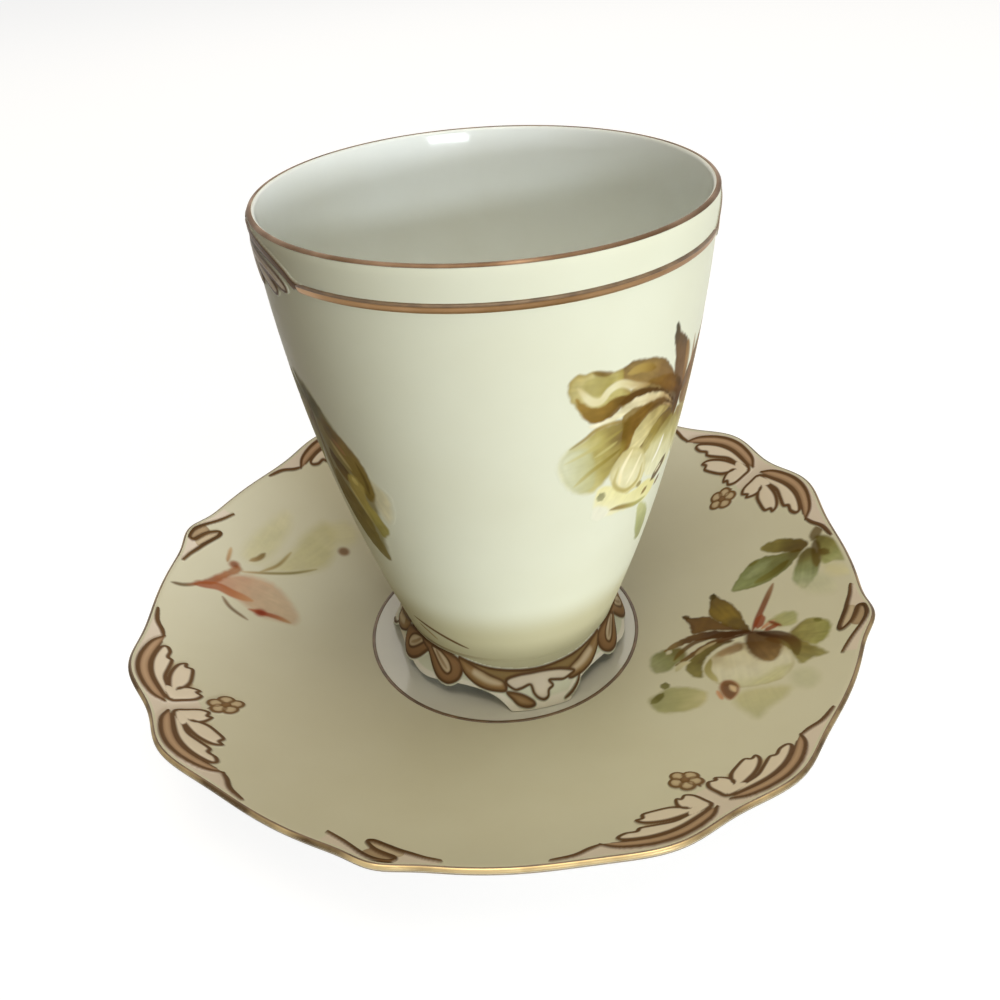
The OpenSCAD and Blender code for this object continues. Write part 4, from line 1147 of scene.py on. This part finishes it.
# %% Cup leaves
spray_turn = 205
spray = Sheet(-18, 12, 29, 66, 0.2, cup_cream)
spray.washes([
    ("-3.4,60.6 -1,59.4 1.4,57 3.6,54.4 6,51.2 7.2,47 6.8,42.4 5.6,38 4.6,33 3.6,30.6 1,32.4 -2,36.4 "
     "-4,42 -4.6,50 -4.6,57", "-2,60 4,31", "#7E7648 #8A8050 #8C7E48 #8E8450 #8E8658",
     {"soft": 0.7, "opacity": 0.85, "streak": 0.08}),
    ("-4.4,58 -7,57 -11,54 -15,49 -13,47 -8,50 -4,55", "-4,58 -15,49", "#7D6834 #A39753 #CDC58A", {}),
    ("-3,56 -8,51 -13,43 -13.6,38 -9.6,41 -5,48", "-3,54 -14,40", "#7D6834 #ABA55A #DFD9A5", {}),
    ("-4,58 -8,60.4 -13,59 -11,56.6 -7,56.4", "-4,57 -13,58", "#6E6138 #918C53 #C0BC8A", {}),
    ("-6,61.4 -3,60.4 -0.4,58.8 1.2,56.8 0.8,54.4 -1.4,54.8 -3.8,57", "-5,60.6 0.6,55",
     "#847F51 #716A44 #7C7348", {"soft": 0.5}),
    ("7,47.8 8.8,47.2 10.2,45.4 9.6,42.4 8,40.2 6.8,43", "7,47 9,41", "#D2C795 #DDD2A3 #ECE3B9",
     {"opacity": 0.6, "soft": 0.8}),
    ("-0.6,55.4 1.4,51.8 3,48.8 2.4,46.6 0.4,48.2 -1.8,51.6 -2.4,54", "-1,55 2.4,47",
     "#8A7A48 #948450 #9C8E58", {"soft": 0.5}),
    ("0,56.2 2.2,55.2 4.8,53.6 7,50.8 7.6,48 7.4,45 5.6,43.4 4.6,45.6 4,47 2.6,49 1,51.6 -0.4,54",
     "0.4,55.6 6.4,44", "#7C6838 #886F44 #937C3F #8C7838 #816C2B", {"soft": 0.4}),
    ("-1,50.4 0.6,49.2 2.4,47.7 2.9,46 1.4,45.2 -0.2,46.2 -1.4,48.4", "0,50 1.6,45.4",
     "#5C461D #675126 #7A612D", {"soft": 0.25}),
    ("2.2,46.8 4.2,47.2 5.3,45.6 4.8,43.4 6.4,40.4 7.2,38 5.2,35.8 4.2,38.4 3,41.4 1.6,43.8", "3,47 6,36",
     "#C3B061 #BAA75D #B0A358 #9B934F", {"soft": 0.35}),
    ("-1.4,46.2 0.6,43.6 2.2,41 3.6,38.6 3.8,35 4.4,31.4 3.6,30 1.6,31 -0.8,33.4 -2.8,37 -3.8,41 -3,44.4",
     "-1.6,46 3.8,30.6", "#82703A #7A6832 #84743C #86783E #8E8250", {})
])
spray.strokes([
    ("-3.6,60 -3.2,57 -3.2,50 -2.2,44", 0.8, "#6A562D #7D6834"),
    ("1.4,53 3.6,51", 0.8, "#A57A51 #B3885D"),
    ("0.4,52.4 2,50.4 3.8,48.4", 0.8, "#C3B078 #D7C58E #C3B373"),
    ("3.2,46.8 3.9,45.6", 1.3, "#E9D98A #D6C575"),
    ("1.2,44.4 3,41 4,38.4", 0.6, "#E1D091 #CBBC78 #B8A761"),
    ("5.6,50.6 6.4,47.4 6.2,45", 0.7, "#6E5A26 #634F1D")
], thin=0.8, soft=0.25, opacity=0.8)
lay_sheet(spray, round_wall(bell_r, spray_turn), "painted_cup_leaves", "cup")

# %% [markdown]
# ## Stroke over the foot
# A short brown brush mark lies low on the front of the cup. The ground is already darker there with painted
# shade, so the sheet takes the ground's colour at each height, and its border can't be seen.

# %% Stroke over the foot
stroke_turn = 270
stroke = Sheet(-24, -9, 9.5, 17, 0.2, cup_cream)
stroke.colour = cup_ground_shaded(stroke.at[:, 1])
stroke.strokes([
    ("-22.4,15.1 -19.6,14.4 -15.6,13.1 -11.4,11.4", 0.75, line_brown),
    ("-21.4,13.6 -19,12.2 -17.4,11", 0.5, "#8A7048 #A68E66")
], thin=0.7)
lay_sheet(stroke, round_wall(bell_r, stroke_turn), "painted_foot_stroke", "cup")

# %% [markdown]
# ## Flowers in the saucer
# Three sprays lie in the dish. They are drawn in the saucer's own plan, X to the right and Y away from the
# viewer, so their places can be read off a view from above. The first is the blossom on the right: dark brown
# outer petals, a cream heart, red stamens and pale green leaves.

# %% Painted saucer blossom
dish_bloom = Sheet(20, 60, -37, 2.6, 0.2, saucer_cream_shaded)
core = "43,-11.6 "
dish_bloom.washes([
    ("36.2,-28.4 37.2,-32 38.4,-34.4 40.4,-32.6 43.4,-31 44.6,-28.8 41,-27 38,-26.4", "39,-26.6 39,-34",
     "#C6C193 #BCB98B #B2B187", {"soft": 0.9, "opacity": 0.75, "streak": 0.06}),
    ("46,-25.6 48.6,-26.2 49,-29 47.4,-31 45.4,-29", "46,-26 47,-31", "#C1C2A2 #B9BA9A",
     {"soft": 1.0, "opacity": 0.6, "streak": 0.06}),
    ("23.4,-23 24.6,-26.4 28,-27.6 31.4,-27 32.8,-24.2 30.6,-21.8 27.4,-20.6 25.6,-21.4",
     "23.4,-23 32.8,-24.4", "#9D9C6D #9B9B6A #A7A571 #B5B17E #C6BF91",
     {"soft": 0.6, "opacity": 0.85, "streak": 0.06}),
    ("26,-11.4 28.2,-10.4 31,-10.6 31.6,-13.2 29.6,-14.8 27.8,-16.2 25.6,-16 25.2,-13.4",
     "31,-11 25.4,-14", "#736937 #7F7D4E #8D9164 #9FA079", {"soft": 0.5}),
    ("40,-12.6 37.4,-13 35,-14.6 33.6,-17 33,-20 31.2,-18.4 31,-16 32.8,-13.6 35.6,-11.8 38.4,-11.6",
     core + "32,-19.4", "#482B0E #564019 #645523 #6F642E #7F7742", {"soft": 0.3}),
    ("42,-12 38.8,-10.8 35.8,-11 32.6,-12.6 29.4,-15 30.6,-15 33,-13.6 36,-12.2 39,-12",
     core + "29.6,-14.8", "#40250A #573714 #6C4A21 #6F582E", {"soft": 0.2}),
    ("43,-11.4 40,-9.8 37,-8.2 33.6,-8 30.6,-8.9 28,-10.8 30.4,-10.4 33.6,-9.8 36.6,-10.4 39.4,-11.2",
     core + "28.4,-10.6", "#391F08 #40240A #503114 #644621 #816940", {"soft": 0.2}),
    ("33,-2.6 34.6,-3.4 37.4,-4.2 38.6,-6 40.6,-8.8 42.6,-11 39.6,-9.4 36.6,-8 33.8,-7.8 33.7,-5.4",
     core + "33.4,-3.4", "#472A0E #593A16 #6B4C1F #6F5021 #644621", {"rim": "#503516"}),
    ("39.4,1.3 38.6,0.2 37.9,-2 37.6,-4.4 39,-7 41,-9.6 43,-11.4 42.8,-9 42.6,-6 41.8,-2.6 40.4,-0.6",
     core + "39,1", "#4C3110 #644E1B #7B6421 #836B23 #6F581F #503E1D", {"rim": "#5C4616"}),
    ("46,-10.8 47.4,-10 49.4,-9.7 50.8,-10.8 50,-13.6 47.6,-13", "46,-11.6 50.6,-11",
     "#999359 #A9A86F #A5A873", {"soft": 0.5, "opacity": 0.85}),
    ("50,-14.2 51.6,-13.6 53.2,-14.2 54.6,-16.8 53.4,-19.6 51.2,-20.8 49.4,-18.4 48.4,-15.6",
     "48.6,-15 54,-17.6", "#746433 #918A4F #A09B5D #929153", {"soft": 0.4}),
    ("46.6,-14.8 48.6,-16.6 50.4,-20 51.9,-24 49.8,-23.8 47.8,-24.2 47.4,-21 46.6,-18.4 44.6,-15",
     core + "50,-24", "#42250C #553717 #685224 #7F7339 #97915B", {"soft": 0.4}),
    ("41.4,-14 38,-13.9 35,-15.6 33.8,-18.6 34.6,-22 37.2,-24.8 40.8,-26.2 44.2,-26.2 46.6,-24 47.4,-20.8 "
     "46.6,-17.6 44,-15", "41,-14.4 39.6,-26", "#B9AC8C #D4CDB0 #DDD9C3 #DAD7BE #C9C7A2",
     {"rim": "#B4AC88", "streak": 0.05}),
    ("40.8,-13.4 38,-13.8 36.2,-15.2 38.6,-15.8 40.8,-15.4", "41,-14 36.4,-15", "#6E4E2C #8A6A46 #A88C64",
     {"soft": 0.5, "opacity": 0.75}),
    ("40,-25.4 44,-25.8 46.4,-23.6 44.4,-23 41.4,-24.2", "46,-23 40,-25.4", "#C0BE8C #CDCB9E",
     {"soft": 0.8, "opacity": 0.6}),
    ("42,-12.2 41.4,-15 41.8,-18 43,-20.4 44.8,-20.8 46.3,-19 46.8,-16 45.6,-13.4 43.6,-11.6",
     core + "44.4,-20.8", "#45280E #573A16 #684A22 #735630 #84693F", {"soft": 0.55})
])
dish_bloom.strokes([
    ("43.2,-11.8 40,-10.5 36.6,-9.8", 1.5, "#4A2C0E #4E3012 #53381A"),
    ("37,-10 33.6,-10.2 30.8,-12 29.4,-13.6", 1.0, "#53381A #634620 #74602E"),
    ("29.3,-10.9 28.5,-11.6", 0.9, "#DCD8C0 #D2CDB0"),
    ("37,-11.6 35,-12.2 33.2,-13.4", 0.7, "#C2B48C #B0A076 #BDB08A"),
    ("31.8,-15 30.4,-15.2 29.2,-16.6", 1.1, "#D3CBA8 #CFC8A4 #BDB992"),
    ("35.2,-15.8 34.2,-18.6 35,-21.8", 1.2, "#968C54 #A59C62 #BDB582"),
    ("44,-12.6 47,-15 48.4,-18 48,-21.6", 1.8, "#3A220C #4A2E14 #604822 #6E6034"),
    ("42.2,-19.6 43.2,-21.1 44.8,-21.4", 0.4, "#D8D2B8 #DEDAC4"),
    ("33,-2.5 34,-3.3", 1.1, "#4E3C20 #5A4422"),
    ("39.4,1.3 38.8,0", 1.2, "#463A1C #564820"),
    ("52.8,-14.4 53.6,-15.4", 0.9, "#6E6A34 #7C7840"),
    ("43.4,-11.4 45,-8.6 46.6,-6 49.4,-1.4", 1.1, "#77391D #864426 #7C4A2A #977353"),
    ("44.3,-11.2 45.7,-8.4", 1.7, "#8D4226 #954E30"),
    ("44.8,-11.8 46.4,-11 47.2,-10.8", 0.8, "#BE805E #D1A88D"),
    ("45.2,-12.5 47.4,-12.2", 1.1, "#823F21 #975332"),
    ("46.4,-10.6 47.8,-12.8", 0.7, "#77351B #824024"),
    ("26.9,-19.2 26.5,-20.6", 1.6, "#6A672F #77743E"),
    ("26,-21.8 24.6,-23.2 23.8,-23.8", 1.4, "#706B38 #64602E #807C4C"),
    ("34.4,-24.4 34.7,-27", 0.7, "#CF9A76 #C98E68")
], thin=0.7, soft=0.25, opacity=0.9)
dish_bloom.shape(xy("34.9,-23.8 35.8,-22.3 37.2,-22.7 37.9,-24.6 37.2,-26.6 35.8,-27.7 35,-26.2"),
                 "#9A5C32 #784620 #6C3E1A", soft=0.4, opacity=0.9)
dish_bloom.shape(xy("36.6,-23.8 37.4,-24.8 37,-26 36.4,-25"), "#E2C9A4", soft=0.3, opacity=0.85)
lay_sheet(dish_bloom, across_dish, "painted_saucer_blossom", "saucer")

# %% [markdown]
# ## Green leaves in the saucer
# Behind the blossom a twig of green leaves runs out to the edge. The outer leaves fade out just inside the
# gold, so that paint and gilding don't meet.

# %% Painted saucer leaves
dish_leaves = Sheet(40, 63, -11, 12, 0.2, saucer_cream_shaded)
dish_leaves.washes([
    ("54.4,-3.4 56.8,-3.6 58.2,-6.6 57.4,-9.6 54.8,-8 53.6,-5.4", "56,-3.6 57,-9.6", "#C0C3A4 #D2D2B6",
     {"soft": 1.0, "opacity": 0.65, "streak": 0.06}),
    ("58,-2 60,-3.4 61.4,-6.4 59.6,-6.6 58,-4.6", "58,-2 61,-6.4", "#CEC997 #DCD6AA",
     {"soft": 1.0, "opacity": 0.6, "streak": 0.06}),
    ("55.8,3.6 57.6,3.4 58,0 57,-2.6 55.6,-4.4 53.6,-5.8 52.6,-2.8 53.8,0.6", "57,3 54,-5.6",
     "#665C2A #787440 #889062 #A2A984 #BFC0A0", {"soft": 0.4}),
    ("58.6,5.6 60,5.2 61.4,2.6 62,-0.6 61.6,-3.2 59.6,-2.2 58,-1.6 58.2,1.6", "58.4,4 61.4,-3",
     "#6C642D #89854A #9A9E66 #B1B283", {"soft": 0.4}),
    ("42.6,0.5 44.4,3.4 47,5.9 49.8,6.3 52.4,5.4 55.8,4.2 54,2.2 51.4,0.4 48.8,-0.3 45.8,-0.4",
     "56,4.4 42.6,0.6", "#665C2C #6E6E3C #7E8452 #8A9460 #969E6E", {"rim": "#6E6C38"}),
    ("49.6,8.4 51,9.4 53.6,9 56,7.2 57.4,5.2 55.8,3.8 53.6,5 51.4,6.4", "57,5 50,8.6",
     "#554113 #60501B #73672D #837A3F", {"soft": 0.3}),
    ("45.4,2.6 47.6,4.6 50.6,4.8 48.6,2.8", "50.6,4.6 45.4,2.8", "#99A274 #A8AE84",
     {"soft": 0.6, "opacity": 0.7})
])
dish_leaves.strokes([
    ("47,0.6 50,1.3 53,2.8", 1.6, "#817C3F #6C662D #5E521B"),
    ("46.8,5.5 48.4,5.9", 0.8, "#6C6631 #777137"),
    ("58.4,4.8 57.8,2 57,-1.4", 1.6, "#503E13 #574519 #6E5D2B"),
    ("58.4,2 59.4,0.4", 1.5, "#5C491D #6C5D2B"),
    ("61,7.4 59.6,7.2 58.2,5.4", 2.0, "#604824 #675428 #5A4B1F")
], thin=0.6, soft=0.35, opacity=0.85)
gold_gone, leaf_full = 0.9, 1.4
away = np.degrees(np.arctan2(dish_leaves.at[:, 1], dish_leaves.at[:, 0]))
inside = ease(edge_r(away) - np.hypot(*dish_leaves.at.T), gold_gone, leaf_full)
dish_leaves.cover *= inside
dish_leaves.colour += (1 - inside)[:, None] * (saucer_cream_shaded - dish_leaves.colour)
lay_sheet(dish_leaves, across_dish, "painted_saucer_leaves", "saucer")

# %% [markdown]
# ## Pale spray in the saucer
# On the left lies the palest spray: a pink leaf on a red stem, faint green leaves behind it, and three round
# buds. The washes are thin and very soft, so that the cream shows through.

# %% Painted saucer spray
dish_spray = Sheet(-62, -28, -3.5, 33, 0.2, saucer_cream_shaded)
dish_spray.washes([
    ("-50.6,16 -49.4,21.4 -46.8,26.4 -44.2,30 -43,27.4 -44,22.4 -45.6,17.6 -48,14.6", "-48,15 -44,30",
     "#D0CAA4 #CAC69C #CECAA2 #D6D1AE", {"soft": 1.4, "opacity": 0.7, "streak": 0.06}),
    ("-46,13.6 -42.4,19 -40,25 -36.4,29.4 -33.8,25.4 -34.4,20 -36,17 -40,14.6", "-46,14 -35,28",
     "#CCC59C #C6C092 #C2BD8C #CCC69C", {"soft": 1.4, "opacity": 0.75, "streak": 0.06}),
    ("-36,28 -32,30.4 -29.6,27 -32.4,24", "-36,26 -30,28", "#D3CD9B #D7D1A3",
     {"soft": 1.4, "opacity": 0.5, "streak": 0.06}),
    ("-54.4,7.6 -51.6,9.8 -48.4,10.8 -45,10.4 -42.6,8.6 -40.4,5.8 -38.8,2.6 -39.4,0.4 -42.4,0.6 -45.4,0.8 "
     "-48.4,3 -52,5.2", "-54,7 -39,1", "#B4745A #BC8A6C #C3A082 #C4A688 #BFA284",
     {"soft": 0.9, "opacity": 0.7, "streak": 0.1}),
    ("-57.6,4.6 -55.4,7.2 -53.2,10 -51.2,12.6 -50.2,11.6 -52.6,8.6 -54,6.2", "-57,4.8 -50.6,12.4",
     "#8C4827 #995632 #A36741 #9F6D46", {"soft": 0.4, "opacity": 0.85})
])
dish_spray.strokes([
    ("-57,4.7 -53.6,5.8 -50.6,5 -47.4,4.4", 2.0, "#964C29 #A45B37 #B06D45 #C29167"),
    ("-60.6,3.3 -58.8,3.6 -56.8,4.8", 0.9, "#5C4425 #644B28 #965732"),
    ("-52.2,3.5 -50.4,1.2 -47.2,-0.9", 0.7, "#7B5734 #674C2D #7B5E39"),
    ("-53,13 -52.9,16.8", 0.7, "#A4774C #C2A075"),
    ("-49.2,14.8 -47.8,16 -46.9,17.7", 1.1, "#A4895C #816434 #755D2D"),
    ("-47,12.6 -44.2,15.4 -42.2,19.6", 0.7, "#B19B6C #938050 #AD9C6C"),
    ("-50,11.4 -44,13.2 -40.8,14.4 -37,16.4", 0.7, "#BEA074 #8D7E4C #7F7542 #A19564"),
    ("-47.4,2 -45.4,1.8 -42.6,1.5 -40,0.6", 1.1, "#AC623E #933922 #A4603E #B48F64")
], thin=0.7, soft=0.3, opacity=0.85)
bud_rows = [((-51.7, 12.7), 0.95, "#96522E #74381C"), ((-45.4, 1.8), 1.0, "#963E28 #7C3220"),
            ((-32.2, 22.4), 1.15, "#866040 #6E4A2A")]
for bud, size, tones in bud_rows:
    dish_spray.shape(ring_of(bud, size), tones, rounding=size, soft=0.5, opacity=0.85)
lay_sheet(dish_spray, across_dish, "painted_saucer_spray", "saucer")

# %% [markdown]
# ## Lamps
# The photograph has soft window light from the front right, low enough to leave the dish in half shade. A low
# window lamp gives it, and is hidden from mirror rays so that only a small upper pane shows as a glint in
# the cup. A warm ceiling lamp nearly overhead fills the dish, and a weak lamp from the far wall keeps the
# back from going black.

# %% Lamps
def aim(lamp, place, target):
    away = np.array(place) - np.array(target)
    away = away / np.linalg.norm(away)
    side = np.cross((0, 0, 1), away)
    side /= np.linalg.norm(side)
    lift = np.cross(away, side)
    lamp.matrix_world = Matrix([[side[i], lift[i], away[i], place[i]] for i in range(3)] + [[0, 0, 0, 1]])


def soft_lamp(name, colour, power, width, height, azimuth, elevation, distance, target=(0, 0, 0.05)):
    """Area lamp in watts and metres; the azimuth runs from the front to the right, in degrees."""
    data = bpy.data.lights.new(name, "AREA")
    data.shape, data.size, data.size_y = "RECTANGLE", width, height
    data.energy, data.color = power, linear(colour)
    lamp = bpy.data.objects.new(name, data)
    bpy.context.collection.objects.link(lamp)
    a, e = math.radians(azimuth), math.radians(elevation)
    place = (target[0] + distance * math.sin(a) * math.cos(e),
             target[1] - distance * math.cos(a) * math.cos(e), target[2] + distance * math.sin(e))
    aim(lamp, place, target)
    return lamp


window = soft_lamp("window", "#F6FBFF", power=6.9, width=0.5, height=0.15, azimuth=36, elevation=3,
                   distance=0.9)
window.visible_glossy = False
soft_lamp("upper_pane", "#F0F8FF", power=1.7, width=0.34, height=0.06, azimuth=18, elevation=13.5,
          distance=0.9)
soft_lamp("ceiling", "#FFF4DE", power=9.4, width=0.85, height=0.85, azimuth=16, elevation=81, distance=1.2)
soft_lamp("far_wall", "#FFF4E2", power=1.1, width=0.7, height=0.5, azimuth=180, elevation=34, distance=1.0)

# %% [markdown]
# ## Background and floor
# The ground of the photograph is plain white. The camera, mirrors and glass see a white floor and sky, while
# falling light meets a dim room and a brown wooden table, which warms the shaded side of the cup. The
# floor still takes the shadow: it glows almost white by itself, and the light that reaches it adds the rest.

# %% Background and floor
floor_half, floor_shade, floor_glow, room_light = 2.0, 0.3, 0.86, 0.02


def seen_rays(tree):
    """1 for what the camera, a mirror or glass sees, 0 for the light that falls on things."""
    rays = add_node(tree, "LightPath").outputs
    direct = add_node(tree, "Math", {0: rays["Is Camera Ray"], 1: rays["Is Glossy Ray"]},
                      operation="MAXIMUM")
    return add_node(tree, "Math", {0: direct, 1: rays["Is Transmission Ray"]}, operation="MAXIMUM")


world = bpy.data.worlds.new("plain_room")
bpy.context.scene.world = world
world.use_nodes = True
tree = world.node_tree
seen = seen_rays(tree)
room = add_node(tree, "Background", {"Color": (*linear("#F6EAD2"), 1), "Strength": room_light})
white = add_node(tree, "Background", {"Color": (1, 1, 1, 1), "Strength": 1.0})
sky = add_node(tree, "MixShader", {0: seen, 1: room, 2: white})
fill_inputs(tree, tree.nodes["World Output"], {"Surface": sky})

floor_corners = [(x * floor_half, y * floor_half, 0) for x, y in ((-1, -1), (1, -1), (1, 1), (-1, 1))]
floor = bpy.data.objects.new("floor", bpy.data.meshes.new("floor"))
floor.data.from_pydata(floor_corners, [], [(0, 1, 2, 3)])
bpy.context.collection.objects.link(floor)
# White paper to the eye, a brown table to the light that falls on it.
paper = bpy.data.materials.new("white_paper_floor")
paper.use_nodes = True
tree = paper.node_tree
tree.nodes.remove(tree.nodes["Principled BSDF"])
seen = seen_rays(tree)
table = add_node(tree, "BsdfDiffuse", {"Color": (*linear("#8C7A54"), 1)})
shadow = add_node(tree, "BsdfDiffuse", {"Color": (floor_shade, floor_shade, floor_shade, 1)})
glow = add_node(tree, "Emission", {"Color": (1, 1, 1, 1), "Strength": floor_glow})
lit = add_node(tree, "AddShader", {0: shadow, 1: glow})
both = add_node(tree, "MixShader", {0: seen, 1: table, 2: lit})
fill_inputs(tree, tree.nodes["Material Output"], {"Surface": both})
floor.data.materials.append(paper)
print("background", world.name, "floor", paper.name)

# %% [markdown]
# ## Finish
# The view transform is Standard, so that a colour renders about as it is written.

# %% Finish
bpy.context.scene.view_settings.view_transform = "Standard"
